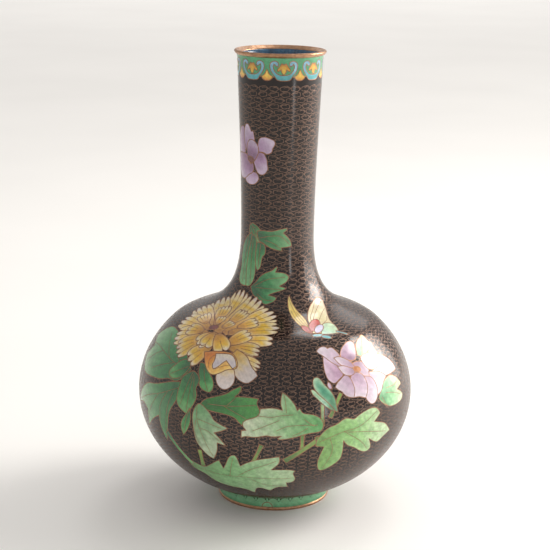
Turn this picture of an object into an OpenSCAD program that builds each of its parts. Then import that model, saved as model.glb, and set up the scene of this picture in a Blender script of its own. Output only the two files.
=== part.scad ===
// Cloisonne vase: a copper body of foot ring, two bowl halves, neck and rim, covered outside with
// cells of enamel between thin copper wires and lined inside with blue enamel.
// All lengths are in millimetres. The vase stands on z = 0 and its decorated front faces -Y.

/* [Body] */
// Height from the foot to the top of the rim
height = 310; // [280:1:340]
// Radius of the bowl at its widest level
bowl_r = 94; // [85:0.5:105]
// Level at which the bowl is widest
bowl_z = 77; // [70:1:85]
// Rise of the bowl's ellipse above and below its widest level
bowl_rise = 74.5; // [65:0.5:80]
// Angle up the ellipse at which the shoulder starts to turn into the neck
shoulder_angle = 40; // [30:1:50]
// Radius of the neck at its narrowest level
waist_r = 24.7; // [20:0.1:30]
// Level at which the neck is narrowest
waist_z = 186; // [175:1:200]
// Radius of the neck just below the lip
mouth_r = 28.4; // [25:0.1:32]
// Radius of the rim
rim_r = 30.6; // [29:0.1:34]
// Radius of the foot
foot_r = 38; // [34:0.5:44]

/* [Walls] */
// Thickness of the outer enamel
enamel_t = 1; // [0.8:0.1:1.5]
// Thickness of the copper
copper_t = 1.2; // [0.8:0.1:2]
// Thickness of the enamel lining
lining_t = 0.6; // [0.4:0.1:1]
// Width of the wires between the cells
wire_w = 0.6; // [0.4:0.1:0.8]
// Width of the foot ring
foot_t = 2.5; // [2:0.1:4]
// Height of the bare copper edge under the foot band
foot_edge = 2.4; // [1.5:0.1:3.5]

/* [Bands] */
// Number of cloud heads around the collar
heads = 8; // [6:1:12]
// Turn of the first cloud head from the front
head_turn = 5; // [0:1:45]
// Middle level of the collar
collar_z = 300; // [296:0.5:302]
// Number of lappets in each row of the foot band
lappets = 30; // [20:1:40]

/* [Hidden] */
$fn = 96;

// Colours
copper = "#b0764a";
black = "#241b1a";
blue = "#1f4c6b";
green = "#5f9a63";
turquoise = "#63b5b8";
yellow = "#dba93e";
orange = "#d0802e";
pale = "#d9cfc6";
pink = "#d9bcc8";
red = "#b5442f";
brown = "#7a3a2c";

// Outer line of the vase as [radius, level] points, from the foot joint up to the lip
function bez(p, t) =
    pow(1 - t, 3) * p[0] + 3 * pow(1 - t, 2) * t * p[1] + 3 * (1 - t) * t * t * p[2] + pow(t, 3) * p[3];
function on_bowl(a) = [bowl_r * cos(a), bowl_z + bowl_rise * sin(a)];
function slope_at(a) = [-bowl_r * sin(a), bowl_rise * cos(a)];
foot_angle = -acos(foot_r / bowl_r);
turn_p = on_bowl(shoulder_angle);
turn_d = slope_at(shoulder_angle) / norm(slope_at(shoulder_angle));
neck_top = height - 7;
shoulder = [turn_p, turn_p + 24 * turn_d, [waist_r, waist_z - 56], [waist_r, waist_z]];
neck = [[waist_r, waist_z], [waist_r, waist_z + 42], [mouth_r - 1.6, neck_top - 41], [mouth_r, neck_top]];
lip = [[mouth_r + 0.15, neck_top + 2], [mouth_r + 0.6, neck_top + 4]];
lower_steps = 8;
upper_steps = 5;
shoulder_steps = 8;
neck_steps = 6;
skin = concat(
    [for (i = [0 : lower_steps]) on_bowl(foot_angle * (1 - i / lower_steps))],
    [for (i = [1 : upper_steps]) on_bowl(shoulder_angle * i / upper_steps)],
    [for (i = [1 : shoulder_steps]) bez(shoulder, i / shoulder_steps)],
    [for (i = [1 : neck_steps]) bez(neck, i / neck_steps)],
    lip
);
// Where the copper pieces join, as places in the outer line
at_foot = 0;
at_girth = lower_steps;
at_neck = lower_steps + upper_steps + 6;
at_collar = lower_steps + upper_steps + shoulder_steps + neck_steps - 1;
at_lip = len(skin) - 1;

function in_by(p, d) = [
    for (i = [0 : len(p) - 1])
        let (
            a = p[max(i - 1, 0)],
            b = p[min(i + 1, len(p) - 1)],
            t = (b - a) / norm(b - a)
        )
        p[i] - d * [t[1], -t[0]]
];
function from_to(p, a, b) = [for (i = [a : b]) p[i]];
function reversed(p) = [for (i = [len(p) - 1 : -1 : 0]) p[i]];
inner_d = enamel_t + copper_t;
lining_d = inner_d + lining_t;
base_z = in_by(skin, enamel_t)[0][1];

// A layer of the wall between two depths, from one place in the outer line to another
module layer(a, b, d0, d1) {
    rotate_extrude()
        polygon(concat(from_to(in_by(skin, d0), a, b), reversed(from_to(in_by(skin, d1), a, b))));
}
module disc(r, z0, z1) {
    translate([0, 0, z0]) cylinder(r = r, h = z1 - z0);
}

// Shapes of single cells, drawn from their root at the origin along +X
LEAF = 0;
STEM = -1;
OVAL = -2;
function both_sides(p) = concat([for (q = p) [q[0], -q[1]]], reversed(p));
function leaf_line(l, w) = both_sides([
    [0, w * 0.14], [l * 0.2, w * 0.37], [l * 0.5, w * 0.5], [l * 0.8, w * 0.39], [l, w * 0.04]
]);
function stem_line(l, w) = both_sides([[0, w * 0.5], [l * 0.5, w * 0.38], [l, w * 0.45]]);
function oval_line(l, w) = [for (a = [0 : 30 : 330]) [l / 2 * (1 + cos(a)), w / 2 * sin(a)]];
// A petal that widens outward and ends in n round fingers
function petal_line(l, w, n) = concat(
    [[0, -w * 0.14], [l * 0.3, -w * 0.34], [l * 0.6, -w * 0.46]],
    [
        for (i = [0 : n - 1], k = [0 : 3])
            let (u = (i + [0.05, 0.3, 0.7, 0.95][k]) / n - 0.5)
            [l * (0.84 - 0.4 * u * u + [0, 0.15, 0.15, 0][k]), w * u]
    ],
    [[l * 0.6, w * 0.46], [l * 0.3, w * 0.34], [0, w * 0.14]]
);
function cell_line(c) =
    is_list(c[5]) ? c[5]
    : c[5] == LEAF ? leaf_line(c[3], c[4])
    : c[5] == STEM ? stem_line(c[3], c[4])
    : c[5] == OVAL ? oval_line(c[3], c[4])
    : petal_line(c[3], c[4], c[5]);

// A motif is [turn, level, radius, tilt, depth] of the spot it is laid on, then its cells.
// A cell is [x, y, angle, length, width, kind, tone]: its root in the plane that touches the vase at
// that spot, x to the right and y up the wall; the kind is LEAF, STEM, OVAL, an outline, or the number
// of fingers of a petal. Later cells lie over earlier ones.
fold_line = [
    [-9, -12], [-7, -17], [-3, -23], [2, -26], [7, -24], [12, -20], [17, -19],
    [18, -16], [15, -12], [11, -9], [0, -10]
];
fold_lining_line = [
    [0, -12], [5, -11], [11, -10], [15, -13], [17, -17], [15, -19], [12, -17], [9, -15], [7, -17],
    [5, -20], [2, -22], [0, -20], [1, -16]
];
// Outlines of lobed leaves, sepals and ruffled petals, in their motif's plane
pale_leaf_line = [
    [-29, -4], [-29, 1], [-26, 1.5], [-28.5, 4.5], [-27.5, 8], [-18, 11], [-17, 16], [-9, 17],
    [-3, 15.5], [-4.5, 20], [-3, 26], [0, 24.5], [5, 19], [6.5, 15], [8, 16.5], [10, 13],
    [15, 12.5], [19.5, 11], [23, 8], [24, 4], [22, 0], [14, 0], [3, -3], [-5, -4], [-6, -3],
    [-3.5, -1.5], [-10, -2], [-13, -1], [-20, -3], [-27, -2.5]
];
dark_leaf_line = [
    [-55, 14], [-51.5, 18], [-46, 20], [-38, 23], [-35, 25.5], [-29, 28.5], [-28.5, 25.5],
    [-33, 22], [-26, 22.5], [-18, 22], [-19.5, 19], [-17, 14.5], [-18, 11], [-25, 9], [-28, 4],
    [-31, 6.5], [-33, 9], [-39, 10.5], [-50, 11], [-55, 12]
];
pointed_leaf_line = [
    [20, 5], [23.5, 5], [28, 2], [31, -0.5], [33, -4], [42, -7], [39.5, -9], [33, -12],
    [36, -14.5], [40, -19.5], [34.5, -18.5], [33.5, -24.5], [29, -31], [25, -29.5], [20, -23],
    [18.5, -19], [18, -11], [17, -6], [17.5, 0]
];
small_leaf_line = [
    [14.5, 0.5], [12, -4], [8, -9], [7, -14], [9, -19], [13, -14.5], [15.5, -9.5], [16, -4]
];
fold_leaf_line = [
    [12, 30], [14, 24], [17, 20], [17.5, 17], [20, 14.5], [26, 13], [28.5, 15], [28, 19], [26, 22],
    [22.5, 24.5], [20, 30]
];
long_leaf_line = [
    [10.5, 24.5], [6.5, 22], [2.5, 18.5], [2.5, 14], [2, 8], [2.5, 1], [9, -3], [13, -4], [18, 5],
    [18.5, 10], [16, 14], [17.5, 18], [16, 21.5]
];
round_leaf_line = [
    [6.5, 28], [2, 30], [-3.5, 28.5], [-7, 25], [-11, 21], [-11.5, 18], [-8, 15.5], [-3, 16],
    [1, 17.5], [5, 22]
];
upper_side_line = [
    [8, 24], [0, 31], [-8, 38], [-20, 42], [-34, 44], [-44, 40], [-52, 34], [-46, 28], [-55, 20],
    [-50, 12], [-42, 10], [-30, 11], [-18, 12], [-10, 15], [0, 14]
];
lower_side_line = [
    [8, 16], [-5, 14], [-22, 8], [-36, 6], [-46, -2], [-52, -12], [-40, -8], [-32, -12],
    [-34, -24], [-24, -16], [-16, -12], [-14, -22], [-10, -28], [-6, -18], [-4, -6], [2, 2]
];
right_leaf_line = [
    [-29, -7], [-29, -2], [-23, 5], [-15.5, 7], [-10, 10.5], [-5, 9.5], [-2.5, 8.5], [1.5, 11],
    [11, 13.5], [17.5, 12.5], [20.5, 8], [15, 3.5], [24.5, 0.5], [29, -3], [33, -8], [26, -10.5],
    [20.5, -14], [11.5, -8], [15.5, -15], [13.5, -18], [9.5, -18], [4, -15], [0, -12], [-7, -9],
    [-10, -5], [-9, -14], [-9, -20], [-15.5, -25.5], [-19.5, -27.5], [-23, -26.5], [-26, -18],
    [-23.5, -8]
];
lower_leaf_line = [
    [-41, -3], [-33, -5], [-29.5, -5], [-22, 3.5], [-18, 7], [-15.5, 0], [-13, 6], [-11, 11.5],
    [-8, 14], [-5.5, 13.5], [-3.5, 5], [-1.5, 7], [4.5, 10.5], [11.5, 12.5], [22.5, 13.5],
    [22.5, 8], [16.5, 2.5], [27, 1.5], [31.5, -1], [29.5, -3], [31, -10], [28, -13.5], [24.5, -13],
    [24.5, -19], [18, -17.5], [12.5, -23.5], [8, -19], [4, -19.5], [1.5, -29], [-2.5, -24],
    [-6.5, -22.5], [-15, -23], [-24.5, -20], [-30.5, -13], [-38, -12], [-42, -8]
];
right_sepal_line = [
    [-22.5, -14], [-23, -10], [-23, -6.5], [-24, -2.5], [-25.5, 1], [-28, 4.5], [-29.5, 9.5],
    [-32, 11], [-34.5, 9.5], [-35.5, 4], [-33, -1], [-30, -5], [-27, -9], [-24, -14]
];
left_sepal_line = [
    [-24, -14], [-27, -9], [-30, -5], [-33, -1], [-35.5, 3.5], [-37.5, 3.5], [-37, 0], [-35.5, -2],
    [-33, -6], [-30, -9.5], [-26.5, -12.5]
];
bud_tip_line = [
    [-25, 6], [-23.5, 4], [-23.5, 1], [-25.5, 1], [-26.5, 4]
];
top_leaf_line = [
    [4, 18], [5, 23], [9, 27.5], [14, 29.5], [16.5, 31.5], [19, 30], [19.5, 26], [22.5, 25],
    [22, 20.5], [24, 16], [14, 14]
];
pink_leaf_line = [
    [24, 0], [30, 1], [36, -1.5], [40, -4.5], [40.5, -6.5], [34, -9.5], [39, -11], [41.5, -13.5],
    [40, -16.5], [34.5, -18.5], [27, -19.5], [21, -19], [13, -14.5], [12, -11.5], [15.5, -7.5],
    [19, -3]
];
top_left_petal_line = [
    [-24, 27], [-23.5, 25], [-21.5, 23], [-19, 19], [-16.5, 16], [-12, 12.5], [-9, 13], [-10, 19],
    [-10, 22], [-12, 26.5], [-13.5, 27.5], [-16, 27], [-17, 29], [-21, 29]
];
left_petal_line = [
    [-21.5, 23], [-23.5, 18.5], [-25, 13.5], [-25, 8], [-23.5, 5.5], [-21, 3.5], [-16.5, 6],
    [-13, 7.5], [-12, 12.5], [-16.5, 16], [-19, 19]
];
top_petal_line = [
    [-10, 18.5], [-9, 22], [-6, 25], [-2.5, 27], [1, 28.5], [5, 28.5], [6, 26], [4.5, 22],
    [1.5, 16], [-3.5, 15.5]
];
pink_petal_lines = [
    [
        [-8, 4], [-7, 13], [2, 15], [8, 12], [9, 4], [2, -1], [-5, 0]
    ],
    [
        [5, 14], [6, 17], [12, 18.5], [18, 17.5], [23, 16.5], [28, 14.5], [27, 10], [18, 7], [8, 7]
    ],
    [
        [28, 14.5], [33, 12], [37, 7.5], [38, 4], [32, 2], [24, 1], [14, 2], [8, 5], [18, 8],
        [27, 10]
    ],
    [
        [12, -10], [16, -8], [19, -3], [24, 1], [18, 5], [8, 6], [7, 1], [10, -6]
    ],
    [
        [0, -10], [2, -13], [4.5, -15], [8, -14.5], [10, -12.5], [12, -9], [12, -3], [9, 3],
        [3, 4], [1, -4]
    ],
    [
        [-9.5, -8], [-5, -8], [0, -10], [3, -6], [4, 0], [2, 6], [-3, 8], [-8.5, 6], [-9, 0]
    ],
    [
        [-21.5, 1.5], [-19.5, -1], [-17.5, -2], [-16, -5], [-13, -7], [-9.5, -8], [-7.5, -4],
        [-7.5, 0], [-8.5, 5], [-10.5, 7.5], [-13, 7.5], [-16, 5.5], [-19, 4]
    ],
    [
        [-15, 20], [-11, 20.5], [-7, 18], [-4, 15.5], [-2, 11], [-8, 11], [-13, 15]
    ],
    [
        [-15, 14], [-11, 14], [-7, 12], [-3, 10], [-4, 7], [-8, 6], [-13, 8]
    ]
];
neck_petal_lines = [
    [
        [-4, 15], [-7, 16], [-10, 14], [-13, 9], [-14, 3], [-12, -3], [-4, -3], [-2, 6]
    ],
    [
        [0, -14], [3, -14], [7, -14], [9, -18], [6, -22], [1, -23], [-4, -21], [-4, -17]
    ],
    [
        [-13, -3], [-14, -9], [-13, -15], [-11, -19], [-6, -20], [-2, -18], [0, -16], [3, -15],
        [5, -12], [4, -7], [0, -3], [-6, -2]
    ],
    [
        [-4, 14], [-3, 17], [-1, 18], [1, 17], [2, 14.5], [3, 13], [4.5, 13.5], [5.5, 10], [6, 4],
        [2, -2], [-3, 0], [-5, 8]
    ],
    [
        [8, 4], [9, 9], [12, 10], [14, 10], [16, 9], [18, 8], [18.5, 6], [18, 4], [17, 2.5],
        [17, 0.5], [15.5, -1], [13.5, -1.5], [12, 0], [8, 0]
    ],
    [
        [6, 0], [12, -0.5], [13, -2.5], [14, -5], [14, -8], [14.5, -11], [13.5, -13.5],
        [11.5, -15.5], [8, -15], [5.5, -10], [4, -5]
    ],
    [
        [0, 7], [4, 8], [8, 5], [9, 0], [6, -6], [2, -9], [-1, -5], [-2, 1]
    ]
];
low_petal_lines = [
    [
        [16, -21], [20, -24], [24, -25], [27.5, -24.5], [30, -21.5], [32, -18], [30, -16],
        [27, -14.5], [25, -12.5], [22, -9], [18, -7], [13, -6], [11, -10], [15, -14]
    ],
    [
        [5, -25], [6, -28], [8, -30.5], [11, -32], [14, -32], [17.5, -29.5], [19, -25.5],
        [17, -20], [13, -16], [7, -20]
    ]
];
neck_right_leaf_line = [
    [-4, 15.5], [0.5, 16.5], [6, 16], [10.5, 17.5], [15.5, 19], [15.5, 17.5], [13.5, 15.5],
    [15.5, 13.5], [17.5, 10.5], [18, 7], [16, 6], [12.5, 5.5], [13, 3.5], [11, 3.5], [7, 4.5],
    [3.5, 6], [0.5, 8], [-3, 9]
];
neck_narrow_leaf_line = [
    [-4, 8], [0, 8], [2.5, 6], [2.5, 0], [0.5, -1], [0, -5], [-0.5, -9], [-2.5, -11], [-4, -9],
    [-5, -2]
];
neck_dark_leaf_line = [
    [-8, 13], [-5, 12], [-4, 8], [-5, 0], [-4, -9], [-4, -15], [-5, -19], [-7, -22], [-10, -22],
    [-12, -12], [-11, 0], [-9, 7]
];
neck_edge_leaf_line = [
    [-8, 14], [-12, 12], [-16, 6], [-18, -2], [-17, -10], [-18, -18], [-15, -22], [-9, -22],
    [-10, -12], [-9, 0], [-7, 7]
];
neck_low_leaf_line = [
    [-2, -18], [-0.5, -15], [2.5, -12.5], [5.5, -11], [8, -10], [10.5, -7], [11, -8], [10, -11],
    [12.5, -11], [16, -11.5], [18, -13.5], [18, -15], [17, -17.5], [13.5, -20], [17.5, -21],
    [17, -22], [13.5, -23.5], [9.5, -25], [8, -26], [11.5, -26.5], [13.5, -27.5], [13, -29],
    [11.5, -30.5], [8, -32], [5, -31], [2, -29], [-3, -27], [-6, -22]
];
yellow_peony = [
    [-30, 128, 68.1, 55.6, 60],
    [
        [-13, 6, 84, 39, 15, 4, 0], [-13, 6, 111, 37, 17, 4, 0], [-14, 6, 134, 37, 15, 4, 0],
        [-8, 3, 69, 40, 17, 4, 0], [-15, 6, 159, 31, 17, 4, 0], [-14, 2, 183, 27, 16, 4, 0],
        [-12, -1, 205, 24, 16, 4, 0], [-2, 4, 52, 37, 17, 4, 0], [1, 5, 30, 33, 14, 3, 0],
        [-6, -7, 220, 18, 14, 3, 0], [7, -1, 20, 27, 10, 2, 0], [6, -5, 3, 22, 12, 4, 0],
        [10, -10, -7, 22, 8, 3, 0], for (line = low_petal_lines) [0, 0, 0, 0, 0, line, 0],
        [-14, 16, 100, 16, 11, 4, 0], [-4, 14, 72, 16, 10, 4, 0], [-20, 12, 135, 14, 10, 4, 0],
        [-18, 4, 170, 15, 11, 3, 0], [4, 12, 45, 14, 10, 3, 0], [-8, 3, 225, 14, 12, 3, 0],
        [5, -4, 52, 17, 12, 3, 0], [-8, 4, 255, 13, 12, 2, 0], [-6, 3, -50, 17, 12, 2, 0],
        [0, 0, 0, 0, 0, fold_line, 1], [0, 0, 0, 0, 0, fold_lining_line, 2],
        [-12, 12, 95, 9, 7, 3, 0], [-6, 9, 60, 9, 7, 3, 0], [-16, 8, 10, 7, 5, OVAL, 3]
    ]
];
pink_peony = [
    [40, 102, 88.5, 24, 60],
    [
        [0, 0, 0, 0, 0, pink_petal_lines[0], 0],
        [0, 0, 0, 0, 0, top_left_petal_line, 0], [0, 0, 0, 0, 0, top_petal_line, 0],
        [0, 0, 0, 0, 0, left_petal_line, 0],
        for (i = [1:len(pink_petal_lines) - 1]) [0, 0, 0, 0, 0, pink_petal_lines[i], 0],
        [-4, 10, -10, 6, 4, OVAL, 1]
    ]
];
pink_leaf_spray = [
    [40, 102, 88.5, 24, 60],
    [
        [0, 0, 0, 0, 0, top_leaf_line, 0],
        [0, 0, 0, 0, 0, pink_leaf_line, 0]
    ]
];
bud = [
    [40, 102, 88.5, 24, 60],
    [
        [0, 0, 0, 0, 0, bud_tip_line, 1],
        [0, 0, 0, 0, 0, left_sepal_line, 0],
        [0, 0, 0, 0, 0, right_sepal_line, 0]
    ]
];
neck_peony = [
    [-50, 245, 26, -2.2, 24],
    [
        for (line = neck_petal_lines) [0, 0, 0, 0, 0, line, 0],
        [-1, -5, -15, 6, 4, OVAL, 1]
    ]
];
fore_wing_line = [
    [-9, -10], [-12, -2], [-13, 7], [-12, 16], [-10, 22], [-8, 24], [-8, 20], [-7, 13], [-5, 6], [-5, 1]
];
hind_wing_line = [
    [-8, -11], [-5, -2], [-3, 5], [2, 13], [9, 19], [13, 22], [17, 20], [16, 13], [12, 2], [12, -4],
    [12, -8], [10, -13], [3, -13]
];
green_patch_line = [[-2, -13], [3, -4], [7, -2], [12, -3], [13, -8], [11, -14], [3, -14]];
butterfly = [
    [30, 136, 51, 67.6, 45],
    [
        [0, 0, 0, 0, 0, hind_wing_line, 1], [0, 0, 0, 0, 0, fore_wing_line, 0],
        [-8, -11, 106, 10, 5, LEAF, 2], [0, 0, 0, 0, 0, green_patch_line, 4],
        [-7, -9, 48, 15, 7, OVAL, 2], [-5, -11, 40, 11, 5, OVAL, 3],
        [-9, -13, -8, 8, 3, OVAL, 5], [-3, -15, -20, 7, 3, OVAL, 5], [10, -12, -24, 8, 2, STEM, 5]
    ]
];
neck_spray = [
    [-24, 176, 25.1, 4.9, 22],
    [
        [-9, 20, -60, 16, 10, LEAF, 0],
        [0, 0, 0, 0, 0, neck_edge_leaf_line, 0],
        [0, 0, 0, 0, 0, neck_dark_leaf_line, 0],
        [0, 0, 0, 0, 0, neck_narrow_leaf_line, 0],
        [0, 0, 0, 0, 0, neck_right_leaf_line, 0],
        [0, 0, 0, 0, 0, neck_low_leaf_line, 0]
    ]
];
left_spray = [
    [-45, 85, 93.5, 7.5, 60],
    [
        [0, 0, 0, 0, 0, upper_side_line, 0],
        [0, 0, 0, 0, 0, lower_side_line, 0],
        [-8, -21, -50, 25, 4, STEM, 0],
        [0, 0, 0, 0, 0, round_leaf_line, 0],
        [0, 0, 0, 0, 0, long_leaf_line, 0],
        [0, 0, 0, 0, 0, small_leaf_line, 0],
        [0, 0, 0, 0, 0, pointed_leaf_line, 0],
        [0, 0, 0, 0, 0, fold_leaf_line, 0]
    ]
];
middle_spray = [
    [5, 75, 94, -1.8, 60],
    [
        [0, 0, 0, 0, 0, dark_leaf_line, 0],
        [0, 0, 0, 0, 0, pale_leaf_line, 0]
    ]
];
right_spray = [
    [35, 72, 93.8, -4.6, 60],
    [
        [0, 0, 0, 0, 0, right_leaf_line, 0]
    ]
];
lower_spray = [
    [-12, 45, 84.9, -30.7, 60],
    [
        [0, 0, 0, 0, 0, lower_leaf_line, 0]
    ]
];
stem_rows = [
    [5, 75, 94, -1.8, 60],
    [
        [10, 1, -90, 14, 3, STEM, 0], [-1, -20, 35, 27, 4, STEM, 0], [19, -6, 17, 24, 6, STEM, 0],
        [-16, -8, -110, 14, 3, STEM, 0], [-52, -32, 102, 14, 3, STEM, 0], [28, 9, 62, 16, 3, STEM, 0],
        [23, 4, 90, 14, 3, STEM, 0]
    ]
];

module cell(c) {
    translate([c[0], c[1]]) rotate(c[2]) polygon(cell_line(c));
}
// The outline of a whole motif, grown by half a wire so that it meets its surroundings
module outline(m) {
    offset(delta = wire_w / 2) for (c = m[1]) cell(c);
}
// The cells of one tone, each less the later cells and the wires around them
module cells(m, tone) {
    last = len(m[1]) - 1;
    offset(delta = -wire_w / 2)
        for (i = [0 : last])
            if (m[1][i][6] == tone)
                difference() {
                    cell(m[1][i]);
                    offset(delta = wire_w) for (j = [i + 1 : 1 : last]) cell(m[1][j]);
                }
}
module all_cells(m) {
    for (tone = [0 : max([for (c = m[1]) c[6]])]) cells(m, tone);
}
// Stands a flat drawing through the wall at the motif's spot
module through(m) {
    rotate([0, 0, m[0][0]])
        translate([0, -m[0][2], m[0][1]])
            rotate([90 - m[0][3], 0, 0])
                translate([0, 0, -m[0][4]])
                    linear_extrude(height = m[0][4] + 20) children();
}
module bowl_enamel() {
    layer(at_foot, at_lip - 2, 0, enamel_t);
}
module inlay(m, tone) {
    intersection() {
        bowl_enamel();
        through(m) cells(m, tone);
    }
}
module wires(m) {
    intersection() {
        bowl_enamel();
        through(m) difference() {
            outline(m);
            all_cells(m);
        }
    }
}
module cut_by(motifs) {
    difference() {
        children();
        for (m = motifs) through(m) outline(m);
    }
}

// Copper
module foot_ring() {
    in_r = foot_r - foot_t;
    band_r = foot_r - enamel_t;
    color(copper) rotate_extrude() polygon([
        [in_r, 0.3], [in_r + 0.3, 0], [foot_r - 0.2, 0], [foot_r + 0.5, foot_edge / 2],
        [foot_r, foot_edge], [band_r, foot_edge], [band_r, base_z], [in_r, base_z]
    ]);
}
module lower_bowl() {
    color(copper) {
        layer(at_foot, at_girth, enamel_t, inner_d);
        disc(in_by(skin, inner_d)[0][0] + 0.1, base_z, base_z + copper_t);
    }
}
module upper_bowl() {
    color(copper) layer(at_girth, at_neck, enamel_t, inner_d);
}
module neck_tube() {
    color(copper) layer(at_neck, at_lip, enamel_t, inner_d);
}
module rim_ring() {
    low = skin[at_lip];
    in = in_by(skin, lining_d)[at_lip];
    color(copper) rotate_extrude() polygon([
        low, [rim_r - 0.6, height - 2.2], [rim_r, height - 1], [rim_r - 0.3, height - 0.2],
        [rim_r - 0.9, height], [rim_r - 2.4, height - 0.8], [in[0] + 0.3, height - 1.8], in
    ]);
}

// Enamel linings and grounds
module bowl_lining() {
    floor_z = base_z + copper_t;
    color(blue) {
        layer(at_foot, at_neck, inner_d, lining_d);
        disc(in_by(skin, lining_d)[0][0] + 0.1, floor_z, floor_z + lining_t);
    }
}
module neck_lining() {
    color(blue) layer(at_neck, at_lip, inner_d, lining_d);
}
module base_enamel() {
    color(blue) disc(foot_r - foot_t, base_z - lining_t, base_z);
}
module bowl_ground() {
    color(black) cut_by([
        yellow_peony, pink_peony, pink_leaf_spray, bud, butterfly, neck_spray, left_spray,
        middle_spray, right_spray, lower_spray, stem_rows
    ]) layer(at_foot, at_neck, 0, enamel_t);
}
module neck_ground() {
    color(black) difference() {
        layer(at_neck, at_lip - 2, 0, enamel_t);
        for (m = [yellow_peony, neck_spray, neck_peony]) through(m) outline(m);
        disc(rim_r, notch_z, height);
        around_collar(0) offset(delta = wire_w / 2) polygon(head_line);
        around_collar(0.5) offset(delta = wire_w / 2) polygon(pendant_line);
    }
}
module foot_ground() {
    color(black) difference() {
        foot_enamel();
        around_foot() offset(delta = wire_w / 2) lappet_pair();
    }
}
module collar_ground() {
    color(green) difference() {
        collar_enamel();
        disc(rim_r, waist_z, notch_z);
        around_collar(0) offset(delta = wire_w / 2) {
            polygon(head_line);
            polygon(palmette_line);
        }
        around_collar(0.5) offset(delta = wire_w / 2) polygon(pendant_line);
    }
}

// Collar: cloud heads with a palmette in each, and a pendant between every two
function mirrored(p) = concat(p, [for (q = reversed(p)) [-q[0], q[1]]]);
head_line = mirrored([
    [3.2, -7.6], [4.8, -6.6], [5.6, -5.2], [8.4, -1.6], [9.2, 1.4], [8.8, 4], [6.6, 5.3], [4.3, 4.8],
    [3.2, 3], [4.2, 1.5], [5.5, 2.2], [6.4, 3.2], [7.1, 1.4], [6.2, -1.2], [3.4, -4.1]
]);
palmette_line = mirrored([
    [0.4, 3], [1.4, 3.5], [2.9, 1.4], [4.5, -0.6], [3.9, -1.6], [1.9, -0.6], [1.3, -2.4], [0.4, -3.6]
]);
pendant_line = mirrored([
    [0.2, -0.4], [1.7, -3.8], [3.8, -4.8], [3.5, -6], [1.6, -7.6]
]);
notch_z = collar_z - 5.2;
module collar_enamel() {
    layer(at_collar, at_lip, 0, enamel_t);
}
module around_collar(shift) {
    for (i = [0 : heads - 1])
        rotate([0, 0, head_turn + (i + shift) * 360 / heads])
            translate([0, -mouth_r + 7, collar_z])
                rotate([90, 0, 0])
                    linear_extrude(height = 12) children();
}
module on_collar(shift) {
    intersection() {
        collar_enamel();
        around_collar(shift) offset(delta = -wire_w / 2) children();
    }
}
module collar_heads() {
    color(turquoise) on_collar(0) polygon(head_line);
}
module collar_palmettes() {
    color(yellow) on_collar(0) polygon(palmette_line);
}
module collar_pendants() {
    color(yellow) on_collar(0.5) polygon(pendant_line);
}
module wire_along(line) {
    difference() {
        offset(delta = wire_w / 2) polygon(line);
        offset(delta = -wire_w / 2) polygon(line);
    }
}
module collar_wires() {
    color(copper) intersection() {
        collar_enamel();
        union() {
            around_collar(0) {
                wire_along(head_line);
                wire_along(palmette_line);
            }
            around_collar(0.5) wire_along(pendant_line);
        }
    }
}

// Foot band: a row of upright scales and a lower row laid over it, half a step round
lappet_r = 3.6;
half_step = foot_r * sin(180 / lappets);
module scale_at(x, y) {
    translate([x, y]) circle(r = lappet_r, $fn = 12);
    translate([x - lappet_r, 0]) square([2 * lappet_r, y]);
}
module lower_scale(x) {
    scale_at(x, 0);
}
module lappet_pair() {
    intersection() {
        union() {
            scale_at(0, 2.6);
            lower_scale(-half_step);
            lower_scale(half_step);
        }
        translate([-half_step, 0]) square([2 * half_step, 10]);
    }
}
module foot_enamel() {
    band_r = foot_r - enamel_t;
    rotate_extrude() polygon([
        [band_r, foot_edge], [foot_r, foot_edge], skin[0], in_by(skin, enamel_t)[0], [band_r, base_z]
    ]);
}
module around_foot(shift = 0) {
    for (i = [0 : lappets - 1])
        rotate([0, 0, (i + shift) * 360 / lappets])
            translate([0, -foot_r + 3, foot_edge])
                rotate([90, 0, 0])
                    linear_extrude(height = 5) children();
}
module upper_cell() {
    offset(delta = -wire_w / 2) difference() {
        scale_at(0, 2.6);
        offset(delta = wire_w) {
            lower_scale(-half_step);
            lower_scale(half_step);
        }
    }
}
module lower_cell() {
    offset(delta = -wire_w / 2) intersection() {
        lower_scale(0);
        translate([-half_step, 0]) square([2 * half_step, 10]);
    }
}
module foot_lappets_upper() {
    color(green) intersection() {
        foot_enamel();
        around_foot() upper_cell();
    }
}
module foot_lappets_lower() {
    color("#6fae74") intersection() {
        foot_enamel();
        around_foot(0.5) lower_cell();
    }
}
module foot_wires() {
    color(copper) difference() {
        intersection() {
            foot_enamel();
            around_foot() offset(delta = wire_w / 2) lappet_pair();
        }
        around_foot() upper_cell();
        around_foot(0.5) lower_cell();
    }
}

// Flowers
module yellow_peony_petals() {
    color(yellow) inlay(yellow_peony, 0);
}
module yellow_peony_fold() {
    color(orange) inlay(yellow_peony, 1);
}
module yellow_peony_fold_lining() {
    color(pale) inlay(yellow_peony, 2);
}
module yellow_peony_heart() {
    color(brown) inlay(yellow_peony, 3);
}
module yellow_peony_wires() {
    color(copper) wires(yellow_peony);
}
module pink_peony_petals() {
    color(pink) inlay(pink_peony, 0);
}
module pink_peony_heart() {
    color(orange) inlay(pink_peony, 1);
}
module pink_peony_wires() {
    color(copper) wires(pink_peony);
}
module neck_peony_petals() {
    color(pink) inlay(neck_peony, 0);
}
module neck_peony_heart() {
    color(brown) inlay(neck_peony, 1);
}
module neck_peony_wires() {
    color(copper) wires(neck_peony);
}
module bud_sepals() {
    color(green) cut_by([pink_peony]) inlay(bud, 0);
}
module bud_tip() {
    color(pink) cut_by([pink_peony]) inlay(bud, 1);
}

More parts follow.
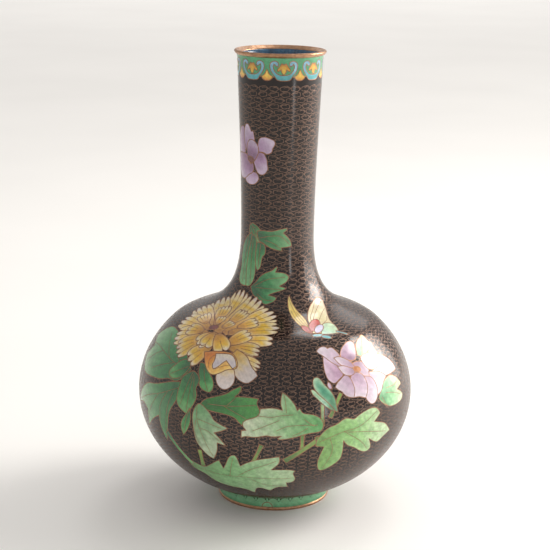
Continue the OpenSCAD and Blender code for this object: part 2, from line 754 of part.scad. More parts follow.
// Butterfly
module butterfly_fore_wing() {
    color(yellow) inlay(butterfly, 0);
}
module butterfly_hind_wing() {
    color("#ece2b4") inlay(butterfly, 1);
}
module butterfly_red_marks() {
    color(red) inlay(butterfly, 2);
}
module butterfly_lilac_mark() {
    color(pink) inlay(butterfly, 3);
}
module butterfly_green_patch() {
    color("#b9d3b4") inlay(butterfly, 4);
}
module butterfly_body() {
    color(turquoise) inlay(butterfly, 5);
}
module butterfly_wires() {
    color(copper) wires(butterfly);
}

// Leaves and stems, each less the motifs that lie over it
module neck_leaves() {
    color(green) cut_by([yellow_peony]) inlay(neck_spray, 0);
}
module left_leaves() {
    color(green) cut_by([yellow_peony]) inlay(left_spray, 0);
}
module middle_leaves() {
    color("#7fb383") cut_by([yellow_peony, left_spray]) inlay(middle_spray, 0);
}
module right_leaves() {
    color("#86b877") cut_by([pink_peony, pink_leaf_spray]) inlay(right_spray, 0);
}
module lower_leaves() {
    color("#7fae7c") cut_by([left_spray]) inlay(lower_spray, 0);
}
module pink_leaves() {
    color("#b6d6ad") cut_by([pink_peony]) inlay(pink_leaf_spray, 0);
}
over_stems = [left_spray, middle_spray, right_spray, lower_spray, pink_peony, bud];
module stems() {
    color("#7c8f4a") cut_by(over_stems) inlay(stem_rows, 0);
}
module leaf_wires() {
    color(copper) {
        cut_by([yellow_peony]) wires(neck_spray);
        cut_by([yellow_peony]) wires(left_spray);
        cut_by([yellow_peony, left_spray]) wires(middle_spray);
        cut_by([pink_peony, pink_leaf_spray]) wires(right_spray);
        cut_by([left_spray]) wires(lower_spray);
        cut_by([pink_peony]) wires(pink_leaf_spray);
        cut_by([pink_peony]) wires(bud);
    }
}

foot_ring();
lower_bowl();
upper_bowl();
neck_tube();
rim_ring();
bowl_lining();
neck_lining();
base_enamel();
bowl_ground();
neck_ground();
foot_ground();
collar_ground();
foot_lappets_upper();
foot_lappets_lower();
foot_wires();
collar_heads();
collar_palmettes();
collar_pendants();
collar_wires();
yellow_peony_petals();
yellow_peony_fold();
yellow_peony_fold_lining();
yellow_peony_heart();
yellow_peony_wires();
pink_peony_petals();
pink_peony_heart();
pink_peony_wires();
neck_peony_petals();
neck_peony_heart();
neck_peony_wires();
butterfly_fore_wing();
butterfly_hind_wing();
butterfly_red_marks();
butterfly_lilac_mark();
butterfly_green_patch();
butterfly_body();
butterfly_wires();
neck_leaves();
left_leaves();
middle_leaves();
right_leaves();
lower_leaves();
pink_leaves();
stems();
bud_sepals();
bud_tip();
leaf_wires();
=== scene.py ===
"""Looks of a cloisonne vase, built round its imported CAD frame.

The CAD gives the copper vessel and every enamel cell as a coarse solid. Here each enamel cell, each wire
between two cells and the scroll wires of the ground are drawn again on the smooth wall, finely enough to
be seen close up. Lengths are in millimetres until a mesh is made.
"""
import math
import random

import bpy
import numpy as np
from mathutils import Matrix, Vector
from mathutils.geometry import delaunay_2d_cdt
from mathutils.kdtree import KDTree


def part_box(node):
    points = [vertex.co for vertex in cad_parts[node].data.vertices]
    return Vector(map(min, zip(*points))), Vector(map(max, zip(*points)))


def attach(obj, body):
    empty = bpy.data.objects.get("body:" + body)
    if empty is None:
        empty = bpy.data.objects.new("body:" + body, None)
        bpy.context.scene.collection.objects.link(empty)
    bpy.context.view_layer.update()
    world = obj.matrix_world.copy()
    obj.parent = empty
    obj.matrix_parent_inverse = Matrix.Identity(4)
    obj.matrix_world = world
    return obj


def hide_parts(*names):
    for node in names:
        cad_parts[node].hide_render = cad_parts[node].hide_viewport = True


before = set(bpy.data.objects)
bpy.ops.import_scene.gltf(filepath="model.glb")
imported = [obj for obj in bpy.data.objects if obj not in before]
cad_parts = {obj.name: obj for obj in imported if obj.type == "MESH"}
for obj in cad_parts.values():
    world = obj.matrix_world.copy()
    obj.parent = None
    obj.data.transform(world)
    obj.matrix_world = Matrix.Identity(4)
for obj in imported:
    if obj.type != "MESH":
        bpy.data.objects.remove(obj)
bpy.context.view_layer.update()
MM = 0.001
random.seed(7)

# ---------------------------------------------------------------- sizes, as in the CAD source
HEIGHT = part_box("rim_ring")[1].z / MM
BOWL_R, BOWL_Z, BOWL_RISE, SHOULDER_ANGLE = 94, 77, 74.5, 40
WAIST_R, WAIST_Z = 24.7, 186
MOUTH_R, RIM_R, FOOT_R = 28.4, 30.6, 38
ENAMEL_T, COPPER_T, LINING_T = 1, 1.2, 0.6
FOOT_T, FOOT_EDGE = 2.5, 2.4
HEADS, HEAD_TURN, COLLAR_Z = 8, 5, 300
LAPPETS, LAPPET_R = 30, 3.6
NECK_TOP = HEIGHT - 7
NOTCH_Z = COLLAR_Z - 5.2
COLLAR_START = 287

# Fine work on the wall
CELL_T = 0.6
WIRE_W = 0.56
VEIN_W = 0.34
SCROLL_W = 0.23
GAP = 0.2
GROUND = -1
# Steps of the meshes: far from the cells as a share of the radius, and in them in millimetres
FAR_STEP = 0.036
FRONT_STEP, COLLAR_STEP, FOOT_STEP = 1.1, 0.7, 0.8
# The scrolls' size, the height of a row, the length along a row that each takes, and the levels they fill
SCROLL_WIDE, SCROLL_TALL, SCROLL_PITCH, SCROLL_REPEAT = 6.0, 3.0, 3.3, 7.4
SCROLLS_FROM, SCROLLS_TO = 11.5, 290.6
SCROLL_ZONES = 4


# ---------------------------------------------------------------- the wall
def bezier(points, steps):
    t = np.linspace(0, 1, steps + 1)[1:, None]
    a, b, c, d = (np.array(p, float) for p in points)
    return (1 - t) ** 3 * a + 3 * (1 - t) ** 2 * t * b + 3 * (1 - t) * t * t * c + t**3 * d


def on_bowl(angle):
    a = np.radians(angle)
    return np.stack([BOWL_R * np.cos(a), BOWL_Z + BOWL_RISE * np.sin(a)], -1)


def wall_line():
    """The outer line of bowl, shoulder and neck as [radius, level], from the foot joint up to the lip."""
    start = -math.degrees(math.acos(FOOT_R / BOWL_R))
    bowl = on_bowl(np.linspace(start, SHOULDER_ANGLE, 100))
    a = math.radians(SHOULDER_ANGLE)
    slope = np.array([-BOWL_R * math.sin(a), BOWL_RISE * math.cos(a)])
    slope /= np.hypot(*slope)
    shoulder = bezier([bowl[-1], bowl[-1] + 24 * slope, (WAIST_R, WAIST_Z - 56), (WAIST_R, WAIST_Z)], 90)
    neck = bezier([(WAIST_R, WAIST_Z), (WAIST_R, WAIST_Z + 42), (MOUTH_R - 1.6, NECK_TOP - 41),
                   (MOUTH_R, NECK_TOP)], 60)
    lip = [(MOUTH_R + 0.15, NECK_TOP + 2), (MOUTH_R + 0.6, NECK_TOP + 4)]
    return np.concatenate([bowl, shoulder, neck, lip])


class Wall:
    """A surface of revolution with a map (u, v): u is the turn from the front, v grows up the wall, and one
    unit of either is the local radius, so that the map keeps angles."""

    def __init__(self, line):
        self.line = np.array(line, float)
        step = np.diff(self.line, axis=0)
        length = np.hypot(*step.T)
        along = np.gradient(self.line, axis=0)
        along /= np.hypot(*along.T)[:, None]
        self.out = np.stack([along[:, 1], -along[:, 0]], 1)
        middle = (self.line[1:, 0] + self.line[:-1, 0]) / 2
        self.v = np.concatenate([[0], np.cumsum(length / middle)])

    def across(self, v):
        """Radius, level and outward direction at v."""
        read = [np.interp(v, self.v, k) for k in (*self.line.T, *self.out.T)]
        size = np.hypot(read[2], read[3])
        return read[0], read[1], read[2] / size, read[3] / size

    def at(self, uv, h=0.0):
        """The point h outside the wall at uv."""
        r, z, out_r, out_z = self.across(uv[:, 1])
        r = r + h * out_r
        return np.stack([r * np.sin(uv[:, 0]), -r * np.cos(uv[:, 0]), z + h * out_z], 1)

    def normal(self, uv):
        out_r, out_z = self.across(uv[:, 1])[2:]
        return np.stack([out_r * np.sin(uv[:, 0]), -out_r * np.cos(uv[:, 0]), out_z], 1)

    def scale(self, uv):
        return self.across(uv[:, 1])[0]

    def at_level(self, z):
        return float(np.interp(z, self.line[:, 1], self.v))

    def uv(self, points):
        v = np.interp(points[:, 2], self.line[:, 1], self.v)
        return np.stack([np.arctan2(points[:, 0], -points[:, 1]), v], 1)

    def outside(self, points):
        r = np.interp(points[..., 2], self.line[:, 1], self.line[:, 0])
        return np.hypot(points[..., 0], points[..., 1]) > r


VASE = Wall(wall_line())
FOOT_LINE = [(FOOT_R, z) for z in np.linspace(FOOT_EDGE, VASE.line[0][1], 12)]
FOOT = Wall(FOOT_LINE)


class Spot:
    """The plane that touches the wall where a motif is laid: x to the right, y up the wall."""

    def __init__(self, turn, level, radius, tilt, depth):
        a, b = math.radians(turn), math.radians(tilt)
        self.origin = np.array([radius * math.sin(a), -radius * math.cos(a), level])
        self.x = np.array([math.cos(a), math.sin(a), 0])
        self.y = np.array([-math.sin(a) * math.sin(b), math.cos(a) * math.sin(b), math.cos(b)])
        self.out = np.cross(self.x, self.y)
        self.depth = depth

    def drop(self, wall, xy):
        """The map places where points of the plane meet the wall, coming from outside."""
        base = self.origin + xy[:, :1] * self.x + xy[:, 1:] * self.y
        reach = np.linspace(20, -self.depth, 160)
        tries = base[:, None] + reach[None, :, None] * self.out
        first = np.argmax(~wall.outside(tries), axis=1)
        near, far = reach[np.maximum(first - 1, 0)], reach[first]
        for _ in range(24):
            middle = (near + far) / 2
            free = wall.outside(base + middle[:, None] * self.out)
            near, far = np.where(free, middle, near), np.where(free, far, middle)
        return wall.uv(base + far[:, None] * self.out)

    def plane(self, points):
        away = points - self.origin
        return np.stack([away @ self.x, away @ self.y], 1)


# ---------------------------------------------------------------- outlines of single cells
LEAF, STEM, OVAL = 0, -1, -2


def through(points, steps):
    """A smooth line through the points, each stretch in so many steps."""
    p = np.array(points, float)
    p = np.concatenate([[2 * p[0] - p[1]], p, [2 * p[-1] - p[-2]]])
    t = np.linspace(0, 1, steps, endpoint=False)[:, None]
    parts = []
    for a, b, c, d in zip(p, p[1:], p[2:], p[3:]):
        parts.append(b + 0.5 * t * (c - a + t * (2 * a - 5 * b + 4 * c - d + t * (3 * (b - c) + d - a))))
    return np.concatenate(parts + [p[-2:-1]])


def both_sides(p):
    p = np.array(p, float)
    return np.concatenate([p * [1, -1], p[::-1]])


def leaf_line(l, w):
    half = through([[0, w * 0.14], [l * 0.2, w * 0.37], [l * 0.5, w * 0.5], [l * 0.8, w * 0.37],
                    [l * 0.94, w * 0.15], [l, w * 0.01]], 6)
    return both_sides(half)


def stem_line(l, w):
    return both_sides(through([[0, w * 0.5], [l * 0.5, w * 0.38], [l, w * 0.45]], 8))


def oval_line(l, w):
    a = np.linspace(0, 2 * math.pi, 28, endpoint=False)
    return np.stack([l / 2 * (1 + np.cos(a)), w / 2 * np.sin(a)], 1)


def petal_line(l, w, fingers):
    """A petal that widens outward and ends in round fingers."""
    t = np.linspace(0, 0.72, 12)
    side = np.stack([l * t, w * (0.14 + 0.36 * np.sin(math.pi / 2 * t / 0.74) ** 0.9)], 1)
    tips = []
    for i in range(fingers):
        f = np.linspace(0.02, 0.98, 9)
        u = (i + f) / fingers - 0.5
        tips.append(np.stack([l * (0.84 - 0.4 * u * u + 0.155 * (1 - np.abs(2 * f - 1) ** 3)), w * u], 1))
    return np.concatenate([side * [1, -1], *tips, side[::-1]])


def rounded(points, rounds=2, sharp=70):
    """A closed line with its corners cut round, except the sharp ones."""
    p = np.array(points, float)
    before, after = p - np.roll(p, 1, 0), np.roll(p, -1, 0) - p
    turn = np.degrees(np.arctan2(before[:, 0] * after[:, 1] - before[:, 1] * after[:, 0],
                                 (before * after).sum(1)))
    keep = np.abs(turn) > sharp
    for _ in range(rounds):
        made, kept = [], []
        for i in range(len(p)):
            a, b = p[i], p[(i + 1) % len(p)]
            made.append(a if keep[i] else 0.75 * a + 0.25 * b)
            kept.append(keep[i])
            if not keep[(i + 1) % len(p)]:
                made.append(0.25 * a + 0.75 * b)
                kept.append(False)
        p, keep = np.array(made), np.array(kept)
    return p


def dense(points, step):
    """A closed line with no stretch longer than step."""
    p = np.array(points, float)
    made = []
    for a, b in zip(p, np.roll(p, -1, 0)):
        n = max(1, int(math.ceil(np.hypot(*(b - a)) / step)))
        made += [a + (b - a) * k / n for k in range(n)]
    return np.array(made)


def cell_line(length, width, kind):
    if isinstance(kind, list):
        return rounded(kind)
    if kind == LEAF:
        return leaf_line(length, width)
    if kind == STEM:
        return stem_line(length, width)
    if kind == OVAL:
        return oval_line(length, width)
    return petal_line(length, width, kind)


# ---------------------------------------------------------------- motifs
# A motif is its spot (turn, level, radius, tilt, depth) and its cells [x, y, angle, length, width, kind,
# tone], as in the CAD source. Later cells lie over earlier ones, and tone is a place in its tone names.
FOLD_LINE = [[-9, -12], [-7, -17], [-3, -23], [2, -26], [7, -24], [12, -20], [17, -19], [18, -16], [15, -12],
             [11, -9], [0, -10]]
FOLD_LINING_LINE = [[0, -12], [5, -11], [11, -10], [15, -13], [17, -17], [15, -19], [12, -17], [9, -15],
                    [7, -17], [5, -20], [2, -22], [0, -20], [1, -16]]
FORE_WING_LINE = [[-9, -10], [-12, -2], [-13, 7], [-12, 16], [-10, 22], [-8, 24], [-8, 20], [-7, 13], [-5, 6],
                  [-5, 1]]
HIND_WING_LINE = [[-8, -11], [-5, -2], [-3, 5], [2, 13], [9, 19], [13, 22], [17, 20], [16, 13], [12, 2],
                  [12, -4], [12, -8], [10, -13], [3, -13]]
GREEN_PATCH_LINE = [[-2, -13], [3, -4], [7, -2], [12, -3], [13, -8], [11, -14], [3, -14]]

# Outlines of lobed leaves, sepals and ruffled petals, in their motif's plane
PALE_LEAF_LINE = [
    [-29, -4], [-29, 1], [-26, 1.5], [-28.5, 4.5], [-27.5, 8], [-18, 11], [-17, 16], [-9, 17],
    [-3, 15.5], [-4.5, 20], [-3, 26], [0, 24.5], [5, 19], [6.5, 15], [8, 16.5], [10, 13], [15, 12.5],
    [19.5, 11], [23, 8], [24, 4], [22, 0], [14, 0], [3, -3], [-5, -4], [-6, -3], [-3.5, -1.5], [-10, -2],
    [-13, -1], [-20, -3], [-27, -2.5],
]
DARK_LEAF_LINE = [
    [-55, 14], [-51.5, 18], [-46, 20], [-38, 23], [-35, 25.5], [-29, 28.5], [-28.5, 25.5], [-33, 22],
    [-26, 22.5], [-18, 22], [-19.5, 19], [-17, 14.5], [-18, 11], [-25, 9], [-28, 4], [-31, 6.5],
    [-33, 9], [-39, 10.5], [-50, 11], [-55, 12],
]
POINTED_LEAF_LINE = [
    [20, 5], [23.5, 5], [28, 2], [31, -0.5], [33, -4], [42, -7], [39.5, -9], [33, -12], [36, -14.5],
    [40, -19.5], [34.5, -18.5], [33.5, -24.5], [29, -31], [25, -29.5], [20, -23], [18.5, -19], [18, -11],
    [17, -6], [17.5, 0],
]
SMALL_LEAF_LINE = [
    [14.5, 0.5], [12, -4], [8, -9], [7, -14], [9, -19], [13, -14.5], [15.5, -9.5], [16, -4],
]
FOLD_LEAF_LINE = [
    [12, 30], [14, 24], [17, 20], [17.5, 17], [20, 14.5], [26, 13], [28.5, 15], [28, 19], [26, 22],
    [22.5, 24.5], [20, 30],
]
LONG_LEAF_LINE = [
    [10.5, 24.5], [6.5, 22], [2.5, 18.5], [2.5, 14], [2, 8], [2.5, 1], [9, -3], [13, -4], [18, 5],
    [18.5, 10], [16, 14], [17.5, 18], [16, 21.5],
]
ROUND_LEAF_LINE = [
    [6.5, 28], [2, 30], [-3.5, 28.5], [-7, 25], [-11, 21], [-11.5, 18], [-8, 15.5], [-3, 16], [1, 17.5],
    [5, 22],
]
UPPER_SIDE_LINE = [
    [8, 24], [0, 31], [-8, 38], [-20, 42], [-34, 44], [-44, 40], [-52, 34], [-46, 28], [-55, 20],
    [-50, 12], [-42, 10], [-30, 11], [-18, 12], [-10, 15], [0, 14],
]
LOWER_SIDE_LINE = [
    [8, 16], [-5, 14], [-22, 8], [-36, 6], [-46, -2], [-52, -12], [-40, -8], [-32, -12], [-34, -24],
    [-24, -16], [-16, -12], [-14, -22], [-10, -28], [-6, -18], [-4, -6], [2, 2],
]
RIGHT_LEAF_LINE = [
    [-29, -7], [-29, -2], [-23, 5], [-15.5, 7], [-10, 10.5], [-5, 9.5], [-2.5, 8.5], [1.5, 11],
    [11, 13.5], [17.5, 12.5], [20.5, 8], [15, 3.5], [24.5, 0.5], [29, -3], [33, -8], [26, -10.5],
    [20.5, -14], [11.5, -8], [15.5, -15], [13.5, -18], [9.5, -18], [4, -15], [0, -12], [-7, -9],
    [-10, -5], [-9, -14], [-9, -20], [-15.5, -25.5], [-19.5, -27.5], [-23, -26.5], [-26, -18], [-23.5, -8],
]
LOWER_LEAF_LINE = [
    [-41, -3], [-33, -5], [-29.5, -5], [-22, 3.5], [-18, 7], [-15.5, 0], [-13, 6], [-11, 11.5], [-8, 14],
    [-5.5, 13.5], [-3.5, 5], [-1.5, 7], [4.5, 10.5], [11.5, 12.5], [22.5, 13.5], [22.5, 8], [16.5, 2.5],
    [27, 1.5], [31.5, -1], [29.5, -3], [31, -10], [28, -13.5], [24.5, -13], [24.5, -19], [18, -17.5],
    [12.5, -23.5], [8, -19], [4, -19.5], [1.5, -29], [-2.5, -24], [-6.5, -22.5], [-15, -23],
    [-24.5, -20], [-30.5, -13], [-38, -12], [-42, -8],
]
RIGHT_SEPAL_LINE = [
    [-22.5, -14], [-23, -10], [-23, -6.5], [-24, -2.5], [-25.5, 1], [-28, 4.5], [-29.5, 9.5], [-32, 11],
    [-34.5, 9.5], [-35.5, 4], [-33, -1], [-30, -5], [-27, -9], [-24, -14],
]
LEFT_SEPAL_LINE = [
    [-24, -14], [-27, -9], [-30, -5], [-33, -1], [-35.5, 3.5], [-37.5, 3.5], [-37, 0], [-35.5, -2],
    [-33, -6], [-30, -9.5], [-26.5, -12.5],
]
BUD_TIP_LINE = [
    [-25, 6], [-23.5, 4], [-23.5, 1], [-25.5, 1], [-26.5, 4],
]
TOP_LEAF_LINE = [
    [4, 18], [5, 23], [9, 27.5], [14, 29.5], [16.5, 31.5], [19, 30], [19.5, 26], [22.5, 25], [22, 20.5],
    [24, 16], [14, 14],
]
PINK_LEAF_LINE = [
    [24, 0], [30, 1], [36, -1.5], [40, -4.5], [40.5, -6.5], [34, -9.5], [39, -11], [41.5, -13.5],
    [40, -16.5], [34.5, -18.5], [27, -19.5], [21, -19], [13, -14.5], [12, -11.5], [15.5, -7.5], [19, -3],
]
TOP_LEFT_PETAL_LINE = [
    [-24, 27], [-23.5, 25], [-21.5, 23], [-19, 19], [-16.5, 16], [-12, 12.5], [-9, 13], [-10, 19],
    [-10, 22], [-12, 26.5], [-13.5, 27.5], [-16, 27], [-17, 29], [-21, 29],
]
LEFT_PETAL_LINE = [
    [-21.5, 23], [-23.5, 18.5], [-25, 13.5], [-25, 8], [-23.5, 5.5], [-21, 3.5], [-16.5, 6], [-13, 7.5],
    [-12, 12.5], [-16.5, 16], [-19, 19],
]
TOP_PETAL_LINE = [
    [-10, 18.5], [-9, 22], [-6, 25], [-2.5, 27], [1, 28.5], [5, 28.5], [6, 26], [4.5, 22], [1.5, 16],
    [-3.5, 15.5],
]

# Broad petals: each one's root, direction, length and width for its colours, then its outline
PINK_PETALS = [
    [0, 8, -20, 18, 14, [
        [-8, 4], [-7, 13], [2, 15], [8, 12], [9, 4], [2, -1], [-5, 0],
    ], 0],
    [-2, 9, 35, 30, 14, [
        [5, 14], [6, 17], [12, 18.5], [18, 17.5], [23, 16.5], [28, 14.5], [27, 10], [18, 7], [8, 7],
    ], 0],
    [0, 8, 0, 38, 12, [
        [28, 14.5], [33, 12], [37, 7.5], [38, 4], [32, 2], [24, 1], [14, 2], [8, 5], [18, 8], [27, 10],
    ], 0],
    [2, 6, -35, 22, 14, [
        [12, -10], [16, -8], [19, -3], [24, 1], [18, 5], [8, 6], [7, 1], [10, -6],
    ], 0],
    [2, 5, -78, 20, 11, [
        [0, -10], [2, -13], [4.5, -15], [8, -14.5], [10, -12.5], [12, -9], [12, -3], [9, 3], [3, 4],
        [1, -4],
    ], 0],
    [-2, 7, -100, 18, 14, [
        [-9.5, -8], [-5, -8], [0, -10], [3, -6], [4, 0], [2, 6], [-3, 8], [-8.5, 6], [-9, 0],
    ], 0],
    [-7, 6, 215, 17, 14, [
        [-21.5, 1.5], [-19.5, -1], [-17.5, -2], [-16, -5], [-13, -7], [-9.5, -8], [-7.5, -4], [-7.5, 0],
        [-8.5, 5], [-10.5, 7.5], [-13, 7.5], [-16, 5.5], [-19, 4],
    ], 0],
    [-4, 12, 150, 13, 8, [
        [-15, 20], [-11, 20.5], [-7, 18], [-4, 15.5], [-2, 11], [-8, 11], [-13, 15],
    ], 0],
    [-4, 10, 178, 12, 7, [
        [-15, 14], [-11, 14], [-7, 12], [-3, 10], [-4, 7], [-8, 6], [-13, 8],
    ], 0],
]
NECK_PETALS = [
    [0, -3, 190, 15, 16, [
        [-4, 15], [-7, 16], [-10, 14], [-13, 9], [-14, 3], [-12, -3], [-4, -3], [-2, 6],
    ], 0],
    [0, -8, -95, 15, 12, [
        [0, -14], [3, -14], [7, -14], [9, -18], [6, -22], [1, -23], [-4, -21], [-4, -17],
    ], 0],
    [-1, -5, 235, 18, 16, [
        [-13, -3], [-14, -9], [-13, -15], [-11, -19], [-6, -20], [-2, -18], [0, -16], [3, -15], [5, -12],
        [4, -7], [0, -3], [-6, -2],
    ], 0],
    [3, -2, 100, 20, 11, [
        [-4, 14], [-3, 17], [-1, 18], [1, 17], [2, 14.5], [3, 13], [4.5, 13.5], [5.5, 10], [6, 4],
        [2, -2], [-3, 0], [-5, 8],
    ], 0],
    [4, -1, 30, 16, 11, [
        [8, 4], [9, 9], [12, 10], [14, 10], [16, 9], [18, 8], [18.5, 6], [18, 4], [17, 2.5], [17, 0.5],
        [15.5, -1], [13.5, -1.5], [12, 0], [8, 0],
    ], 0],
    [4, -1, -58, 16, 11, [
        [6, 0], [12, -0.5], [13, -2.5], [14, -5], [14, -8], [14.5, -11], [13.5, -13.5], [11.5, -15.5],
        [8, -15], [5.5, -10], [4, -5],
    ], 0],
    [2, -4, 70, 13, 9, [
        [0, 7], [4, 8], [8, 5], [9, 0], [6, -6], [2, -9], [-1, -5], [-2, 1],
    ], 0],
]
LOW_PETALS = [
    [14, -10, -35, 24, 14, [
        [16, -21], [20, -24], [24, -25], [27.5, -24.5], [30, -21.5], [32, -18], [30, -16], [27, -14.5],
        [25, -12.5], [22, -9], [18, -7], [13, -6], [11, -10], [15, -14],
    ], 0],
    [10, -17, -75, 16, 14, [
        [5, -25], [6, -28], [8, -30.5], [11, -32], [14, -32], [17.5, -29.5], [19, -25.5], [17, -20],
        [13, -16], [7, -20],
    ], 0],
]

NECK_RIGHT_LEAF_LINE = [
    [-4, 15.5], [0.5, 16.5], [6, 16], [10.5, 17.5], [15.5, 19], [15.5, 17.5], [13.5, 15.5], [15.5, 13.5],
    [17.5, 10.5], [18, 7], [16, 6], [12.5, 5.5], [13, 3.5], [11, 3.5], [7, 4.5], [3.5, 6], [0.5, 8],
    [-3, 9],
]
NECK_NARROW_LEAF_LINE = [
    [-4, 8], [0, 8], [2.5, 6], [2.5, 0], [0.5, -1], [0, -5], [-0.5, -9], [-2.5, -11], [-4, -9], [-5, -2],
]
NECK_DARK_LEAF_LINE = [
    [-8, 13], [-5, 12], [-4, 8], [-5, 0], [-4, -9], [-4, -15], [-5, -19], [-7, -22], [-10, -22],
    [-12, -12], [-11, 0], [-9, 7],
]
NECK_EDGE_LEAF_LINE = [
    [-8, 14], [-12, 12], [-16, 6], [-18, -2], [-17, -10], [-18, -18], [-15, -22], [-9, -22], [-10, -12],
    [-9, 0], [-7, 7],
]
NECK_LOW_LEAF_LINE = [
    [-2, -18], [-0.5, -15], [2.5, -12.5], [5.5, -11], [8, -10], [10.5, -7], [11, -8], [10, -11],
    [12.5, -11], [16, -11.5], [18, -13.5], [18, -15], [17, -17.5], [13.5, -20], [17.5, -21], [17, -22],
    [13.5, -23.5], [9.5, -25], [8, -26], [11.5, -26.5], [13.5, -27.5], [13, -29], [11.5, -30.5],
    [8, -32], [5, -31], [2, -29], [-3, -27], [-6, -22],
]

YELLOW_PEONY = dict(
    spot=(-30, 128, 68.1, 55.6, 60),
    tones=["yellow_peony_petals", "yellow_peony_fold", "yellow_peony_fold_lining", "yellow_peony_heart"],
    wires="yellow_peony_wires",
    cells=[
        [-13, 6, 84, 39, 15, 4, 0], [-13, 6, 111, 37, 17, 4, 0], [-14, 6, 134, 37, 15, 4, 0],
        [-8, 3, 69, 40, 17, 4, 0], [-15, 6, 159, 31, 17, 4, 0], [-14, 2, 183, 27, 16, 4, 0],
        [-12, -1, 205, 24, 16, 4, 0], [-2, 4, 52, 37, 17, 4, 0], [1, 5, 30, 33, 14, 3, 0],
        [-6, -7, 220, 18, 14, 3, 0], [7, -1, 20, 27, 10, 2, 0], [6, -5, 3, 22, 12, 4, 0],
        [10, -10, -7, 22, 8, 3, 0], *LOW_PETALS,
        [-14, 16, 100, 16, 11, 4, 0], [-4, 14, 72, 16, 10, 4, 0], [-20, 12, 135, 14, 10, 4, 0],
        [-18, 4, 170, 15, 11, 3, 0], [4, 12, 45, 14, 10, 3, 0], [-8, 3, 225, 14, 12, 3, 0],
        [5, -4, 52, 17, 12, 3, 0], [-8, 4, 255, 13, 12, 2, 0], [-6, 3, -50, 17, 12, 2, 0],
        [2, -10, -60, 16, 26, FOLD_LINE, 1], [4, -10, -80, 13, 18, FOLD_LINING_LINE, 2],
        [-12, 12, 95, 9, 7, 3, 0], [-6, 9, 60, 9, 7, 3, 0], [-16, 8, 10, 7, 5, OVAL, 3],
    ],
)
PINK_SPOT = (40, 102, 88.5, 24, 60)
PINK_PEONY = dict(
    spot=PINK_SPOT,
    tones=["pink_peony_petals", "pink_peony_heart"],
    wires="pink_peony_wires",
    cells=[
        PINK_PETALS[0],
        [-9, 13, 128, 20, 14, TOP_LEFT_PETAL_LINE, 0],
        [-2, 15, 80, 14, 14, TOP_PETAL_LINE, 0],
        [-12, 10, 172, 13, 14, LEFT_PETAL_LINE, 0],
        *PINK_PETALS[1:], [-4, 10, -10, 6, 4, OVAL, 1],
    ],
)
PINK_LEAF_SPRAY = dict(
    spot=PINK_SPOT,
    tones=["pink_leaves"],
    wires="leaf_wires",
    cells=[
        [12, 15, 70, 17, 14, TOP_LEAF_LINE, 0],
        [13, -12, 10, 30, 18, PINK_LEAF_LINE, 0],
    ],
)
BUD = dict(
    spot=PINK_SPOT,
    tones=["bud_sepals", "bud_tip"],
    wires="leaf_wires",
    cells=[
        [-24, 1, 100, 5, 3, BUD_TIP_LINE, 1],
        [-25, -13, 125, 20, 3, LEFT_SEPAL_LINE, 0],
        [-23, -14, 112, 27, 8, RIGHT_SEPAL_LINE, 0],
    ],
)
NECK_PEONY = dict(
    spot=(-50, 245, 26, -2.2, 24),
    tones=["neck_peony_petals", "neck_peony_heart"],
    wires="neck_peony_wires",
    cells=[*NECK_PETALS, [-1, -5, -15, 6, 4, OVAL, 1]],
)
BUTTERFLY = dict(
    spot=(30, 136, 51, 67.6, 45),
    tones=["butterfly_fore_wing", "butterfly_hind_wing", "butterfly_red_marks", "butterfly_lilac_mark",
           "butterfly_green_patch", "butterfly_body"],
    wires="butterfly_wires",
    cells=[
        [-6, -12, 58, 40, 22, HIND_WING_LINE, 1], [-7, -10, 98, 34, 8, FORE_WING_LINE, 0],
        [-8, -11, 106, 10, 5, LEAF, 2], [-2, -14, 30, 16, 10, GREEN_PATCH_LINE, 4],
        [-7, -9, 48, 15, 7, OVAL, 2], [-5, -11, 40, 11, 5, OVAL, 3],
        [-9, -13, -8, 8, 3, OVAL, 5], [-3, -15, -20, 7, 3, OVAL, 5], [10, -12, -24, 8, 2, STEM, 5],
    ],
)
NECK_SPRAY = dict(
    spot=(-24, 176, 25.1, 4.9, 22),
    tones=["neck_leaves"],
    wires="leaf_wires",
    cells=[
        [-9, 20, -60, 16, 10, LEAF, 0],
        [-9, 12, -98, 34, 10, NECK_EDGE_LEAF_LINE, 0],
        [-7, 12, -92, 34, 8, NECK_DARK_LEAF_LINE, 0],
        [-1, 8, -95, 19, 6, NECK_NARROW_LEAF_LINE, 0],
        [-3, 12, -5, 22, 13, NECK_RIGHT_LEAF_LINE, 0],
        [-3, -22, 12, 22, 20, NECK_LOW_LEAF_LINE, 0],
    ],
)
LEFT_SPRAY = dict(
    spot=(-45, 85, 93.5, 7.5, 60),
    tones=["left_leaves"],
    wires="leaf_wires",
    cells=[
        [8, 20, 165, 62, 24, UPPER_SIDE_LINE, 0],
        [8, 12, 205, 62, 24, LOWER_SIDE_LINE, 0],
        [-8, -21, -50, 25, 4, STEM, 0],
        [5, 26, 205, 18, 10, ROUND_LEAF_LINE, 0],
        [11, 23, -95, 27, 14, LONG_LEAF_LINE, 0],
        [14.5, 0, -107, 20, 7, SMALL_LEAF_LINE, 0],
        [20, 5, -70, 36, 20, POINTED_LEAF_LINE, 0],
        [16, 28, -60, 18, 9, FOLD_LEAF_LINE, 0],
    ],
)
MIDDLE_SPOT = (5, 75, 94, -1.8, 60)
MIDDLE_SPRAY = dict(
    spot=MIDDLE_SPOT,
    tones=["middle_leaves"],
    wires="leaf_wires",
    cells=[
        [-52, 14, 5, 35, 15, DARK_LEAF_LINE, 0],
        [23, 4, 175, 52, 20, PALE_LEAF_LINE, 0],
    ],
)
RIGHT_SPRAY = dict(
    spot=(35, 72, 93.8, -4.6, 60),
    tones=["right_leaves"],
    wires="leaf_wires",
    cells=[
        [-29, -5, 10, 62, 30, RIGHT_LEAF_LINE, 0],
    ],
)
